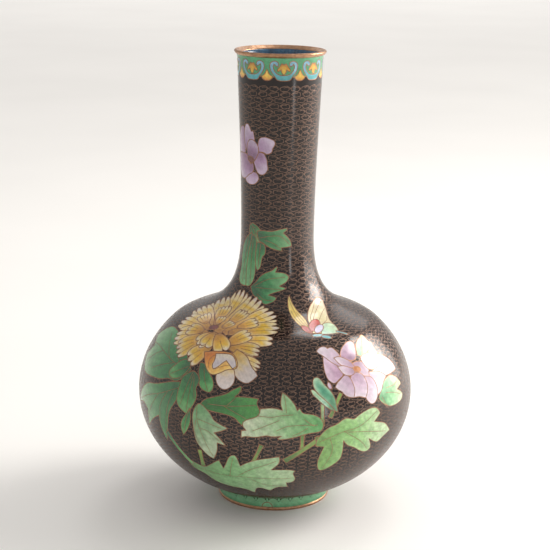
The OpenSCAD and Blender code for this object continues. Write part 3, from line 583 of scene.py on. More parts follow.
LOWER_SPRAY = dict(
    spot=(-12, 45, 84.9, -30.7, 60),
    tones=["lower_leaves"],
    wires="leaf_wires",
    cells=[
        [-40, -8, 0, 70, 30, LOWER_LEAF_LINE, 0],
    ],
)
STEMS = dict(
    spot=MIDDLE_SPOT,
    tones=["stems"],
    wires="leaf_wires",
    cells=[
        [10, 1, -90, 14, 3, STEM, 0], [-1, -20, 35, 27, 4, STEM, 0], [19, -6, 17, 24, 6, STEM, 0],
        [-16, -8, -110, 14, 3, STEM, 0], [-52, -32, 102, 14, 3, STEM, 0], [28, 9, 62, 16, 3, STEM, 0],
        [23, 4, 90, 14, 3, STEM, 0],
    ],
)
# Whatever comes later lies over what comes earlier
FRONT = [STEMS, RIGHT_SPRAY, LOWER_SPRAY, MIDDLE_SPRAY, LEFT_SPRAY, PINK_LEAF_SPRAY, BUD, PINK_PEONY,
         NECK_SPRAY, YELLOW_PEONY, NECK_PEONY, BUTTERFLY]


def mirrored(p):
    return p + [[-x, y] for x, y in reversed(p)]


HEAD_LINE = mirrored([[3.2, -7.6], [4.8, -6.6], [5.6, -5.2], [8.4, -1.6], [9.2, 1.4], [8.8, 4], [6.6, 5.3],
                      [4.3, 4.8], [3.2, 3], [4.2, 1.5], [5.5, 2.2], [6.4, 3.2], [7.1, 1.4], [6.2, -1.2],
                      [3.4, -4.1]])
PALMETTE_LINE = mirrored([[0.4, 3], [1.4, 3.5], [2.9, 1.4], [4.5, -0.6], [3.9, -1.6], [1.9, -0.6],
                          [1.3, -2.4], [0.4, -3.6]])
PENDANT_LINE = mirrored([[0.2, -0.4], [1.7, -3.8], [3.8, -4.8], [3.5, -6], [1.6, -7.6]])

# ---------------------------------------------------------------- colours of the enamels
def rgb(code):
    c = np.array([int(code[i : i + 2], 16) / 255 for i in (1, 3, 5)])
    return np.where(c <= 0.04045, c / 12.92, ((c + 0.055) / 1.055) ** 2.4)


def ramp(*stops):
    """Colours along a cell from root to tip, as (place, colour) stops."""
    places = [s[0] for s in stops]
    colours = np.array([rgb(s[1]) for s in stops])
    return lambda t: np.stack([np.interp(t, places, colours[:, k]) for k in range(3)], 1)


# For each CAD node: its material slot, its colours from root to tip, the colour along its edges
PAINT = {
    "yellow_peony_petals": ("yellow", ramp((0, "#a8690e"), (0.4, "#d99c1c"), (0.72, "#e6bb3a"),
                                           (0.88, "#e9d7a8"), (0.95, "#ddd2d8"), (1, "#d8cdd8")), "#e3cfa4"),
    "yellow_peony_fold": ("orange", ramp((0, "#c8701c"), (0.5, "#e39a2e"), (1, "#efc463")), "#f0cf7e"),
    "yellow_peony_fold_lining": ("pale", ramp((0, "#f0e2c2"), (0.5, "#cfc3c6"), (1, "#b4a7b2")), "#e6dcd8"),
    "yellow_peony_heart": ("brown", ramp((0, "#5a1c1c"), (1, "#8c2f22")), "#7a2a20"),
    "pink_peony_petals": ("pink", ramp((0, "#b08ca6"), (0.4, "#d3b6cb"), (0.75, "#e6d2e0"),
                                       (1, "#efe4ea")), "#ead9e4"),
    "pink_peony_heart": ("orange", ramp((0, "#a8541c"), (1, "#c9822e")), "#b5702a"),
    "neck_peony_petals": ("pink", ramp((0, "#7f4f74"), (0.5, "#a783a8"), (1, "#d5c3d8")), "#c3adc6"),
    "neck_peony_heart": ("brown", ramp((0, "#5c2c34"), (1, "#8a4a3a")), "#6c343a"),
    "bud_sepals": ("leaf", ramp((0, "#5f9a6c"), (0.6, "#4fae86"), (1, "#a9d8b4")), "#d3e6bd"),
    "bud_tip": ("pink", ramp((0, "#c9a2c0"), (1, "#eadbe6")), "#e4cfe0"),
    "butterfly_fore_wing": ("yellow", ramp((0, "#dcae3a"), (0.6, "#f0d05e"), (1, "#f2dc86")), "#f0d680"),
    "butterfly_hind_wing": ("cream", ramp((0, "#efd688"), (0.6, "#f3e6b8"), (1, "#f6efd8")), "#f3e8c4"),
    "butterfly_red_marks": ("red", ramp((0, "#b81c0c"), (1, "#d83a20")), "#c82c16"),
    "butterfly_lilac_mark": ("pink", ramp((0, "#c3b4de"), (1, "#e2daf0")), "#d6cce8"),
    "butterfly_green_patch": ("pale_green", ramp((0, "#8fc9a4"), (1, "#d9ecc6")), "#c9e2bd"),
    "butterfly_body": ("turquoise", ramp((0, "#3f9fae"), (1, "#8fd0d2")), "#6fbcc2"),
    "neck_leaves": ("leaf", ramp((0, "#0f5a30"), (0.45, "#2f8a4a"), (1, "#8cc48a")), "#6fb374"),
    "left_leaves": ("leaf", ramp((0, "#0f5a2c"), (0.5, "#2f8a40"), (1, "#7fbf74")), "#5fa85c"),
    "middle_leaves": ("pale_green", ramp((0, "#176b34"), (0.4, "#4aa258"), (1, "#b4dca4")), "#93c98a"),
    "right_leaves": ("pale_green", ramp((0, "#76a84a"), (0.45, "#9ad07c"), (1, "#d3e6bc")), "#c4dea8"),
    "dark_leaf": ("pale_green", ramp((0, "#1d6b20"), (0.5, "#2f8430"), (1, "#4f9f45")), "#4f9a48"),
    "pale_leaf": ("pale_green", ramp((0, "#55ae54"), (0.4, "#98cc8a"), (1, "#dfe9c8")), "#cadcb2"),
    "pointed_leaf": ("leaf", ramp((0, "#5a9a5c"), (0.5, "#8fb184"), (1, "#c3cfb0")), "#b3c3a0"),
    "low_petal": ("yellow", ramp((0, "#d9a42c"), (0.3, "#e2c78e"), (0.5, "#dccbc0"),
                                 (1, "#e2d8d6")), "#e0d4d0"),
    "left_petal": ("pink", ramp((0, "#a47c9a"), (0.5, "#c6a1ba"), (1, "#dcc3d4")), "#dcc5d6"),
    "lower_leaves": ("leaf", ramp((0, "#6da658"), (0.45, "#8cc681"), (1, "#c2deae")), "#b2d3a0"),
    "pink_leaves": ("pale_green", ramp((0, "#3f9a58"), (0.45, "#8ccb8c"), (1, "#e2efc4")), "#cfe6b4"),
    "stems": ("olive", ramp((0, "#4d7a2c"), (1, "#8fae4e")), "#86a84c"),
    "collar_ground": ("green", ramp((0, "#2f8f5c"), (1, "#58b07c")), "#46a06c"),
    "collar_heads": ("turquoise", ramp((0, "#3fa7ae"), (1, "#74c8c8")), "#8fb4dc"),
    "collar_palmettes": ("yellow", ramp((0, "#f0cc3e"), (1, "#d89a2c")), "#c87a24"),
    "collar_pendants": ("yellow", ramp((0, "#c86a24"), (0.45, "#ecc44a"), (1, "#f0d86a")), "#e0a83c"),
    "foot_lappets_upper": ("green", ramp((0, "#1e7a48"), (1, "#5fb37a")), "#74bf88"),
    "foot_lappets_lower": ("green", ramp((0, "#2a8a54"), (1, "#7cc48e")), "#8fcf9c"),
    "ground": ("black", ramp((0, "#190b08"), (1, "#190b08")), "#190b08"),
}


# ---------------------------------------------------------------- the wall divided into cells
def inside(line, points):
    """Which points of the map lie inside a closed line."""
    found = np.zeros(len(points), bool)
    near = np.flatnonzero(((points >= line.min(0)) & (points <= line.max(0))).all(1))
    if len(near):
        x, y = points[near, :1], points[near, 1:]
        a, b = line, np.roll(line, -1, 0)
        rise = np.where(np.abs(b[:, 1] - a[:, 1]) < 1e-12, 1e-12, b[:, 1] - a[:, 1])
        crossing = a[:, 0] + (y - a[:, 1]) * (b[:, 0] - a[:, 0]) / rise
        hit = ((a[:, 1] > y) != (b[:, 1] > y)) & (x < crossing)
        found[near] = hit.sum(1) % 2 == 1
    return found


OWN_PAINT = [
    (DARK_LEAF_LINE, "dark_leaf"), (PALE_LEAF_LINE, "pale_leaf"), (POINTED_LEAF_LINE, "pointed_leaf"),
    (LEFT_PETAL_LINE, "left_petal"), (TOP_PETAL_LINE, "left_petal"),
    (LOW_PETALS[0][5], "low_petal"), (LOW_PETALS[1][5], "low_petal"),
]


class Cell:
    """One cell of enamel: its outline on the wall's map, and its own directions from root to tip."""

    def __init__(self, wall, spot, row, node, wires):
        x, y, angle, self.length, self.width, self.kind, _ = row
        self.wall, self.spot, self.node, self.wires = wall, spot, node, wires
        own = [paint for line, paint in OWN_PAINT if line is self.kind]
        self.paint = own[0] if own else node
        self.root = np.array([x, y], float)
        a = math.radians(angle)
        self.along = np.array([math.cos(a), math.sin(a)])
        self.across = np.array([-math.sin(a), math.cos(a)])
        line = cell_line(self.length, self.width, self.kind)
        if not isinstance(self.kind, list):
            line = self.placed(line)
        self.uv = spot.drop(wall, dense(line, 0.9))
        self.tint = random.uniform(-1, 1)

    def placed(self, p):
        return self.root + p[:, :1] * self.along + p[:, 1:] * self.across

    def local(self, points):
        """Place along and across the cell of points on the wall, as shares of its length and width."""
        away = self.spot.plane(points) - self.root
        return away @ self.along / self.length, away @ self.across / self.width


class Band:
    """A plain zone all round the wall up to a level, such as the black below the collar."""

    def __init__(self, wall, level, node, wires):
        self.wall, self.node, self.wires, self.kind = wall, node, wires, None
        u = np.linspace(-math.pi, math.pi, 181)[:-1]
        self.uv = np.stack([u, np.full(len(u), wall.at_level(level))], 1)
        self.tint = 0

    def local(self, points):
        return np.zeros(len(points)), np.zeros(len(points))


class Field:
    """Part of the wall between two levels, laid flat: as a strip with its seam at the back, or as a ring."""

    def __init__(self, wall, low, high, ring):
        self.wall, self.ring = wall, ring
        self.low, self.high = wall.at_level(low), wall.at_level(high)

    def flat(self, uv):
        if not self.ring:
            return uv
        grown = np.exp(uv[:, 1] - self.low)
        return np.stack([grown * np.sin(uv[:, 0]), grown * np.cos(uv[:, 0])], 1)

    def uv(self, flat):
        if not self.ring:
            return flat
        return np.stack([np.arctan2(flat[:, 0], flat[:, 1]), self.low + np.log(np.hypot(*flat.T))], 1)

    def unit(self, flat):
        """Millimetres to one unit of the flat map."""
        size = self.wall.scale(self.uv(flat))
        return size / np.hypot(*flat.T) if self.ring else size

    def rows(self, step):
        n = max(2, round((self.high - self.low) / step))
        return np.linspace(self.low, self.high, n + 1)

    def borders(self, step):
        """The closed lines of the field: the outer one first, then the hole of a ring."""
        n = round(2 * math.pi / step)
        u = np.linspace(-math.pi, math.pi, n + 1)
        if self.ring:
            return [self.flat(np.stack([u[:-1], np.full(n, v)], 1)) for v in (self.high, self.low)]
        v = self.rows(step)
        side = np.full(len(v), math.pi)
        edges = [(u, np.full(n + 1, self.low)), (side, v), (u[::-1], np.full(n + 1, self.high)),
                 (-side, v[::-1])]
        return [np.concatenate([np.stack(e, 1)[:-1] for e in edges])]

    def lattice(self, step):
        rows = self.rows(step)[1:-1]
        n = round(2 * math.pi / step)
        points = []
        for k, v in enumerate(rows):
            u = -math.pi + (np.arange(n) + 0.25 + 0.5 * (k % 2)) * 2 * math.pi / n
            points.append(np.stack([u, np.full(n, v)], 1))
        return np.concatenate(points)

    def fine(self, cells, step):
        """Lattice points step millimetres apart over the zone of the cells."""
        low = np.min([c.uv.min(0) for c in cells], 0)
        high = np.max([c.uv.max(0) for c in cells], 0)
        points, v, k = [], low[1], 0
        while v < high[1]:
            du = step / float(self.wall.across(v)[0])
            u = np.arange(low[0] + 0.5 * du * (k % 2), high[0], du)
            points.append(np.stack([u, np.full(len(u), v)], 1))
            v, k = v + 0.87 * du, k + 1
        return np.concatenate(points)


def leftward(line):
    """A closed line with its inside on the left."""
    x, y = line.T
    return line if (x * np.roll(y, -1) - y * np.roll(x, -1)).sum() > 0 else line[::-1]


def divide(field, cells, wide, step):
    """The field's triangles on its flat map, and for each the number of the cell that lies on top."""
    lines = [leftward(field.flat(c.uv)) for c in cells]
    borders = [leftward(b) for b in field.borders(wide)]
    coarse, fine = field.flat(field.lattice(wide)), field.flat(field.fine(cells, step))
    covered = np.zeros(len(coarse), bool)
    filled = np.zeros(len(fine), bool)
    for cell, line in zip(cells, lines):
        if not isinstance(cell, Band):
            covered |= inside(line, coarse)
            filled |= inside(line, fine)
    loose = np.concatenate([coarse[~covered], fine[filled]])
    edge = np.concatenate([field.wall.at(field.uv(x)) for x in [*lines, *borders]])
    tree = KDTree(len(edge))
    for k, p in enumerate(edge):
        tree.insert(p, k)
    tree.balance()
    apart = [tree.find(p)[2] > 0.5 * step for p in field.wall.at(field.uv(loose))]
    loose = loose[np.array(apart)]
    # A ring's first cells may be bands, which the hole has to lie over
    bands = sum(isinstance(c, Band) for c in cells)
    faces = [borders[0], *lines[:bands], *borders[1:], *lines[bands:]]
    number = [GROUND, *range(bands), *[None] * (len(borders) - 1), *range(bands, len(cells))]
    starts = np.cumsum([0] + [len(f) for f in faces])
    points = np.concatenate(faces + [loose])
    made = delaunay_2d_cdt([Vector(p) for p in points], [],
                           [list(range(a, b)) for a, b in zip(starts, starts[1:])], 1, 1e-6)
    flat = np.array([p[:] for p in made[0]])
    kept = [(t, number[max(f)]) for t, f in zip(made[2], made[5]) if f and len(t) == 3]
    kept = [(t, n) for t, n in kept if n is not None]
    tris, top = np.array([t for t, _ in kept]), np.array([n for _, n in kept])
    if not field.ring:
        tris = welded(flat, tris)
    corner = flat[tris]
    if not field.ring:  # a triangle next to the seam reads its far corners on its own side
        corner = corner.copy()
        turn = corner[..., 0]
        turn[(turn < -3) & (turn.max(1) > 3)[:, None]] += 2 * math.pi
    a, b = corner[:, 1] - corner[:, 0], corner[:, 2] - corner[:, 0]
    area = a[:, 0] * b[:, 1] - a[:, 1] * b[:, 0]
    tris[area < 0] = tris[area < 0][:, ::-1]
    good = np.abs(area) > 1e-12
    return flat, tris[good], top[good]


def welded(flat, tris):
    """The triangles with the strip's right seam joined to its left."""
    left = {round(float(v), 5): k for k, (u, v) in enumerate(flat) if u < -math.pi + 1e-5}
    same = np.arange(len(flat))
    for k, (u, v) in enumerate(flat):
        if u > math.pi - 1e-5:
            same[k] = left[round(float(v), 5)]
    return same[tris]


def edges_of(tris):
    return np.concatenate([tris[:, [0, 1]], tris[:, [1, 2]], tris[:, [2, 0]]])


def slab(field, flat, tris, fixed, thick):
    """A thin closed solid over the triangles: vertices, faces, the number of top faces and the map places."""
    edges = edges_of(tris)
    both = {tuple(e) for e in edges.tolist()}
    rim = np.array([e for e in edges.tolist() if (e[1], e[0]) not in both])
    used, tris = np.unique(tris, return_inverse=True)
    tris = tris.reshape(-1, 3)
    place = {k: i for i, k in enumerate(used)}
    xy = flat[used].copy()
    shift = np.zeros_like(xy)
    for a, b in rim:
        if fixed[a] and fixed[b]:
            continue
        d = flat[b] - flat[a]
        size = np.hypot(*d)
        if 1e-9 < size < 3:
            for k in (a, b):
                if not fixed[k]:
                    shift[place[k]] += np.array([-d[1], d[0]]) / size
    size = np.maximum(np.hypot(*shift.T), 1e-9)
    moved = size > 1e-6
    xy[moved] += (shift / size[:, None] * GAP / field.unit(xy)[:, None])[moved]
    uv = field.uv(xy)
    n = len(xy)
    top, bottom = field.wall.at(uv), field.wall.at(uv, -thick)
    faces = [tuple(t) for t in tris.tolist()] + [(c + n, b + n, a + n) for a, b, c in tris.tolist()]
    for a, b in rim.tolist():
        a, b = place[a], place[b]
        faces.append((a, a + n, b + n, b))
    return np.concatenate([top, bottom]), faces, len(tris), uv, [place[k] for k in np.unique(rim)]


def vein_shade(cell, points):
    """How far a leaf is darkened along its veins, from 0 to 1."""
    lines = vein_lines(cell)
    if not lines:
        return np.zeros(len(points))
    dots = np.concatenate(lines)
    near = np.min(np.hypot(*(cell.spot.plane(points)[:, None] - dots[None]).transpose(2, 0, 1)), 1)
    return np.exp(-((near / 1.8) ** 2))


def paint(cell, points, rim):
    """Colours of a cell's vertices, from its root to its tip and towards its edges."""
    _, colours, edge = PAINT[cell.paint]
    along, across = cell.local(points)
    wander = 0.05 * np.sin(points @ np.array([0.9, 0.7, 0.8]) + 5 * cell.tint)
    c = colours(np.clip(along + wander, 0, 1))
    tree = KDTree(len(rim))
    for k, i in enumerate(rim):
        tree.insert(points[i], k)
    tree.balance()
    away = np.array([tree.find(p)[2] for p in points])
    share = 0.75 * np.exp(-((away / 1.1) ** 2)) * np.clip((along - 0.15) / 0.5, 0.15, 1)
    c = c + (rgb(edge) - c) * share[:, None]
    if cell.node.endswith("leaves"):
        c = c * (1 - 0.2 * vein_shade(cell, points)[:, None] * np.array([1.2, 0.8, 1.2]))
    c *= 1 + 0.1 * cell.tint + 0.05 * np.sin(points @ np.array([2.1, -1.7, 2.6]))[:, None]
    return np.clip(c, 0, 1)


# ---------------------------------------------------------------- meshes
def piece(name, verts, faces, material, slot, replaces=(), tints=None, normals=None, smooth=False):
    """A mesh in the CAD frame, riding on the vase. normals are wanted directions of the first loops."""
    mesh = bpy.data.meshes.new(name)
    mesh.from_pydata((np.asarray(verts) * MM).tolist(), [], faces)
    mesh.materials.append(material)
    if tints is not None:
        layer = mesh.attributes.new("Tint", "FLOAT_COLOR", "POINT")
        layer.data.foreach_set("color", np.c_[tints, np.ones(len(tints))].ravel().astype(np.float32))
    if smooth:
        mesh.shade_smooth()
    if normals is not None:
        loops = np.zeros((len(mesh.loops), 3))
        loops[: len(normals)] = normals
        mesh.normals_split_custom_set(loops.tolist())
    o = bpy.data.objects.new(name, mesh)
    bpy.context.scene.collection.objects.link(o)
    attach(o, "root")
    if replaces:
        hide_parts(*replaces)


def lay_cells(field, layout, cells, ground, materials):
    """One piece for each CAD node of enamel, its cells as closed solids, with the ground round them."""
    flat, tris, top = layout
    used = field.uv(flat)[:, 1]
    fixed = (used < field.low + 1e-5) | (used > field.high - 1e-5)
    nodes = {}
    for number in np.unique(top):
        node = ground if number == GROUND else cells[number].node
        nodes.setdefault(node, []).append(int(number))
    for node, numbers in nodes.items():
        verts, tops, rest, tints, normals, count = [], [], [], [], [], 0
        for number in numbers:
            p, faces, n, uv, rim = slab(field, flat, tris[top == number], fixed, CELL_T)
            half = len(p) // 2
            if number == GROUND or isinstance(cells[number], Band):
                c = np.tile(rgb(PAINT.get(node, PAINT["ground"])[2]), (half, 1))
            else:
                c = paint(cells[number], p[:half], rim)
            out = field.wall.normal(uv)
            normals.append(out[np.array(faces[:n]).ravel()])
            tops += [tuple(k + count for k in f) for f in faces[:n]]
            rest += [tuple(k + count for k in f) for f in faces[n:]]
            verts.append(p)
            tints += [c, c]
            count += len(p)
        slot = PAINT.get(node, PAINT["ground"])[0]
        material = materials.get(slot, materials["enamel"])
        piece(node + "_glazed", np.concatenate(verts), tops + rest, material, slot + "_enamel", [node],
              np.concatenate(tints), np.concatenate(normals))


def chains(edges):
    """Edges joined end to end into lists of vertices."""
    near = {}
    for a, b in edges:
        near.setdefault(a, set()).add(b)
        near.setdefault(b, set()).add(a)
    made = []

    def walk(a, b):
        path = [a, b]
        near[a].discard(b)
        near[b].discard(a)
        while len(near[path[-1]]) == 1 and (path[-1] not in ends):
            c = near[path[-1]].pop()
            near[c].discard(path[-1])
            path.append(c)
        return path

    ends = {k for k, v in near.items() if len(v) != 2}
    for a in sorted(ends):
        while near[a]:
            made.append(walk(a, min(near[a])))
    for a in sorted(near):
        while near[a]:
            made.append(walk(a, min(near[a])))
    return made


def strip(wall, uv, section, closed=False):
    """A closed solid of one cross-section along a line on the wall: vertices and faces."""
    p = wall.at(uv)
    keep = [0]
    for k in range(1, len(p)):
        if np.linalg.norm(p[k] - p[keep[-1]]) > 0.25 or (k == len(p) - 1 and not closed):
            keep.append(k)
    if len(keep) < 2:
        return None
    p, n = p[keep], wall.normal(uv[keep])
    if closed and np.linalg.norm(p[0] - p[-1]) < 0.25:
        p, n = p[:-1], n[:-1]
    if len(p) < (3 if closed else 2):
        return None
    ahead = np.roll(p, -1, 0) - p
    if not closed:
        ahead[-1] = ahead[-2]
    ahead /= np.maximum(np.linalg.norm(ahead, axis=1), 1e-9)[:, None]
    behind = np.roll(ahead, 1, 0)
    if not closed:
        behind[0] = ahead[0]
    one, two = np.cross(behind, n), np.cross(ahead, n)
    side = one + two
    side /= np.maximum(np.linalg.norm(side, axis=1), 1e-9)[:, None]
    side /= np.clip((side * one).sum(1), 0.6, 1)[:, None]
    ring = np.concatenate([p[:, None] + a * side[:, None] + b * n[:, None] for a, b in section], 1)
    m, k = len(p), len(section)
    faces = []
    for i in range(m if closed else m - 1):
        j = (i + 1) % m
        for a in range(k):
            b = (a + 1) % k
            faces.append((i * k + a, i * k + b, j * k + b, j * k + a))
    if not closed:
        faces += [tuple(range(k))[::-1], tuple(range((m - 1) * k, m * k))]
    return ring.reshape(-1, 3), faces


def joined(strips):
    verts, faces, count = [], [], 0
    for made in strips:
        if made:
            verts.append(made[0])
            faces += [tuple(k + count for k in f) for f in made[1]]
            count += len(made[0])
    return (np.concatenate(verts), faces) if verts else None


def flat_wire(width, proud, deep):
    """The cross-section of a wire, slightly crowned, as [across, up]."""
    w = width / 2
    return [(-w * 0.8, -deep), (-w, proud * 0.4), (0, proud), (w, proud * 0.4), (w * 0.8, -deep)]


def border_wires(field, layout, cells, ground_wires):
    """A wire along every edge between two cells, kept with the motif of the cell on top."""
    flat, tris, top = layout
    owner = {}
    for (a, b), number in zip(edges_of(tris).tolist(), np.tile(top, 3).tolist()):
        owner.setdefault((min(a, b), max(a, b)), []).append(number)
    edges = {}
    for edge, numbers in owner.items():
        if len(numbers) == 2 and numbers[0] != numbers[1]:
            edges.setdefault(max(numbers), []).append(edge)
    wires = {}
    uv = field.uv(flat)
    for number, some in edges.items():
        for path in chains(some):
            closed = path[0] == path[-1]
            line = np.unwrap(uv[path], axis=0, period=2 * math.pi) if field.ring else uv[path]
            made = strip(field.wall, line[:-1] if closed else line, flat_wire(WIRE_W, 0.06, CELL_T - 0.1),
                         closed)
            wires.setdefault(cells[number].wires or ground_wires, []).append(made)
    return wires


def veins(cell):
    """Inner wires of a cell, as lines in shares of its length and width."""
    kind = cell.kind
    if isinstance(kind, list) or kind in (STEM, OVAL) or cell.length < 9:
        return []
    if kind in (LEAF, 1):
        end = 0.84 if kind == LEAF else 0.76
        lines = [through([(0.02, 0), (0.4, 0.03), (end, 0)], 8)]
        count = 1 + int(cell.length / 16)
        for k in range(count):
            t = 0.14 + 0.58 * k / count
            for side in (-1, 1):
                lines.append(through([(t, 0), (t + 0.09, 0.17 * side), (t + 0.2, 0.27 * side)], 4))
        return lines
    lines = []
    for i in range(1, kind):
        u = i / kind - 0.5
        lines.append(through([(0.85 - 0.4 * u * u, u), (0.66, 0.86 * u), (0.42, 0.62 * u)], 5))
    return lines


# The inner wires drawn in each outline, in its motif's plane
DRAWN_VEINS = [
    (NECK_RIGHT_LEAF_LINE, [[(-2, 11), (6, 13), (12, 13), (17, 8)], [(2, 10), (8, 8), (12, 5)]]),
    (NECK_NARROW_LEAF_LINE, [[(-1, 7), (-2, -2), (-2, -9)]]),
    (NECK_DARK_LEAF_LINE, [[(-7, 10), (-8, -5), (-7, -20)]]),
    (NECK_EDGE_LEAF_LINE, [[(-11, 12), (-14, -4), (-14, -20)]]),
    (NECK_LOW_LEAF_LINE, [
        [(-3, -21), (6, -16), (16, -14)], [(-2, -22), (6, -22), (15, -22)],
        [(0, -26), (6, -29), (12, -29)]
    ]),
    (UPPER_SIDE_LINE, [
        [(6, 22), (-14, 26), (-34, 30), (-48, 30)], [(-4, 25), (-10, 31), (-14, 37)],
        [(-16, 26), (-24, 33), (-30, 40)], [(-10, 25), (-22, 21), (-34, 16)],
        [(-28, 29), (-38, 24), (-48, 18)]
    ]),
    (LOWER_SIDE_LINE, [
        [(4, 12), (-14, 4), (-32, -2), (-46, -8)], [(-8, 6), (-14, -4), (-14, -14)],
        [(-2, 8), (-6, -4), (-9, -22)], [(-18, 2), (-26, -8), (-32, -18)]
    ]),
    (HIND_WING_LINE, [
        [(-5, -9), (0, 2), (8, 12), (15, 19)], [(-4, -9), (4, 1), (10, 8), (15, 13)],
        [(-3, -10), (5, -3), (10, 1), (12, 5)], [(-4, -8), (-1, 4), (5, 12), (10, 19)]
    ]),
    (FORE_WING_LINE, [
        [(-8, -6), (-9, 4), (-9, 13), (-9, 22)], [(-7, -5), (-7, 4), (-8, 12)],
        [(-9, -5), (-11, 4), (-11, 14)]
    ]),
    (FOLD_LINE, [[(1, -12), (-3, -16), (-2, -22)], [(3, -22), (8, -19), (13, -17)]]),
    (PALE_LEAF_LINE, [
        [(20, 5), (9, 5.5), (0, 5), (-7, 2)], [(11, 9.5), (14, 7), (17.5, 4.5)],
        [(-20, 11.5), (-10, 11), (-4, 12), (4, 12.5)], [(-22, 1.5), (-13, 5.5), (-5, 9)],
        [(13.5, 3.5), (8, 0.5), (3.5, -1.5)], [(-2, 25), (-1, 20), (-0.5, 13.5)]
    ]),
    (DARK_LEAF_LINE, [
        [(-50, 15), (-35, 16), (-20, 18)], [(-38, 16), (-32, 22), (-29, 27)],
        [(-40, 15.5), (-30, 11), (-26, 9)]
    ]),
    (POINTED_LEAF_LINE, [
        [(20, 4), (21, -6), (25, -17), (29, -29)], [(21, -5), (27, -6), (38, -8)],
        [(23, -11), (29, -12), (36, -17)], [(20, -6), (19, -14), (21, -22)]
    ]),
    (SMALL_LEAF_LINE, [[(14.5, 0), (12, -8), (9.5, -17)]]),
    (FOLD_LEAF_LINE, [[(17, 27), (21, 20), (25.5, 14)]]),
    (LONG_LEAF_LINE, [
        [(10, 23), (8, 10), (6, 1)], [(11, 22), (12, 10), (12, -2)], [(12, 21), (15, 13), (17, 7)]
    ]),
    (ROUND_LEAF_LINE, [[(5, 26), (-2, 22), (-9, 18)]]),
    (RIGHT_LEAF_LINE, [
        [(-27, -4), (-12, 1), (2, 3), (17, 10)], [(-10, 1), (8, -2), (28, -7)],
        [(-8, 0), (4, -8), (12, -16)], [(-20, -2), (-17, -12), (-20, -25)]
    ]),
    (LOWER_LEAF_LINE, [
        [(-38, -8), (-20, -8), (0, -6), (28, -8)], [(-6, -5), (4, 3), (20, 10)],
        [(-12, -7), (-10, 3), (-8, 11)], [(2, -8), (10, -14), (22, -17)]
    ]),
    (TOP_LEAF_LINE, [[(8, 18), (12, 24), (16, 30)], [(12, 18), (18, 21), (21, 23)]]),
    (PINK_LEAF_LINE, [
        [(20, -10), (29, -11), (38, -13)], [(21, -7), (31, -6), (36, -4)],
        [(15, -12), (18, -16), (21, -18.5)]
    ]),
]


def vein_lines(cell):
    """A cell's inner wires in its motif's plane."""
    lines = [cell.placed(v * [cell.length, cell.width]) for v in veins(cell)]
    for drawn, some in DRAWN_VEINS:
        if cell.kind is drawn:
            lines += [through(v, 6) for v in some]
    return lines


def shown_runs(points, mask, least=3):
    """The stretches of a line where the mask holds."""
    runs, run = [], []
    for p, shown in zip(points, mask):
        if shown:
            run.append(p)
        elif run:
            runs.append(run)
            run = []
    runs.append(run)
    return [np.array(r) for r in runs if len(r) >= least]


def vein_wires(field, cells):
    wires = {}
    section = flat_wire(VEIN_W, 0.05, 0.3)
    for number, cell in enumerate(cells):
        for line in vein_lines(cell):
            fine = through(line, 4)
            uv = cell.spot.drop(field.wall, fine)
            mask = inside(cell.uv, uv)
            for other in cells[number + 1 :]:
                mask &= ~inside(other.uv, uv)
            for run in shown_runs(uv, mask):
                wires.setdefault(cell.wires, []).append(strip(field.wall, run, section))
    return wires


def scroll_line():
    """A cloud scroll in shares of its width and height: a wavy oval whose end curls inwards."""
    a = np.linspace(-0.3, 2 * math.pi + 2.3, 30)
    turn = np.clip((a - 5.2) / 3.4, 0, 1)
    size = (1 - 0.62 * turn) * (1 + 0.1 * np.cos(5 * a) * (1 - turn))
    return np.stack([0.5 * size * np.cos(a), 0.5 * size * np.sin(a)], 1)


def scrolls(wall, cells, low, high):
    """The scroll wires of the ground between two levels, row by row."""
    shape = scroll_line()
    lines = []
    v, row = wall.at_level(low), 0
    end = wall.at_level(high)
    while v < end:
        r, z = (float(k) for k in wall.across(v)[:2])
        slim = min(1, max(0, (60 - r) / 30))
        wide, tall = SCROLL_WIDE + 0.5 * slim, SCROLL_TALL + 0.4 * slim
        pitch = SCROLL_PITCH + 0.5 * slim
        count = round(2 * math.pi * r / SCROLL_REPEAT)
        for k in range(count):
            u = -math.pi + (k + 0.5 * (row % 2) + 0.02 * random.uniform(-1, 1)) * 2 * math.pi / count
            a = math.radians(random.uniform(-5, 5))
            spin = np.array([[math.cos(a), math.sin(a)], [-math.sin(a), math.cos(a)]])
            flip = [1 if row % 2 else -1, 1]
            p = (shape * flip * [wide, tall] * random.uniform(0.95, 1.04)) @ spin
            lines.append(p / r + [u, v])
        v += pitch / r
        row += 1
    points = np.concatenate(lines)
    free = np.ones(len(points), bool)
    for cell in cells:
        free &= ~inside(cell.uv, points)
    runs, n = [], len(shape)
    for k, line in enumerate(lines):
        runs += shown_runs(line, free[k * n : (k + 1) * n])
    return runs


def revolved(line, closed=True, steps=192):
    """A ring with the given cross-section, as [radius, level] in order."""
    p = np.array(line, float)
    a = np.linspace(0, 2 * math.pi, steps, endpoint=False)
    verts = np.concatenate([np.c_[r * np.cos(a), r * np.sin(a), np.full(steps, z)] for r, z in p])
    faces = []
    for i in range(len(p) if closed else len(p) - 1):
        j = (i + 1) % len(p)
        for k in range(steps):
            m = (k + 1) % steps
            faces.append((i * steps + k, i * steps + m, j * steps + m, j * steps + k))
    return verts, faces


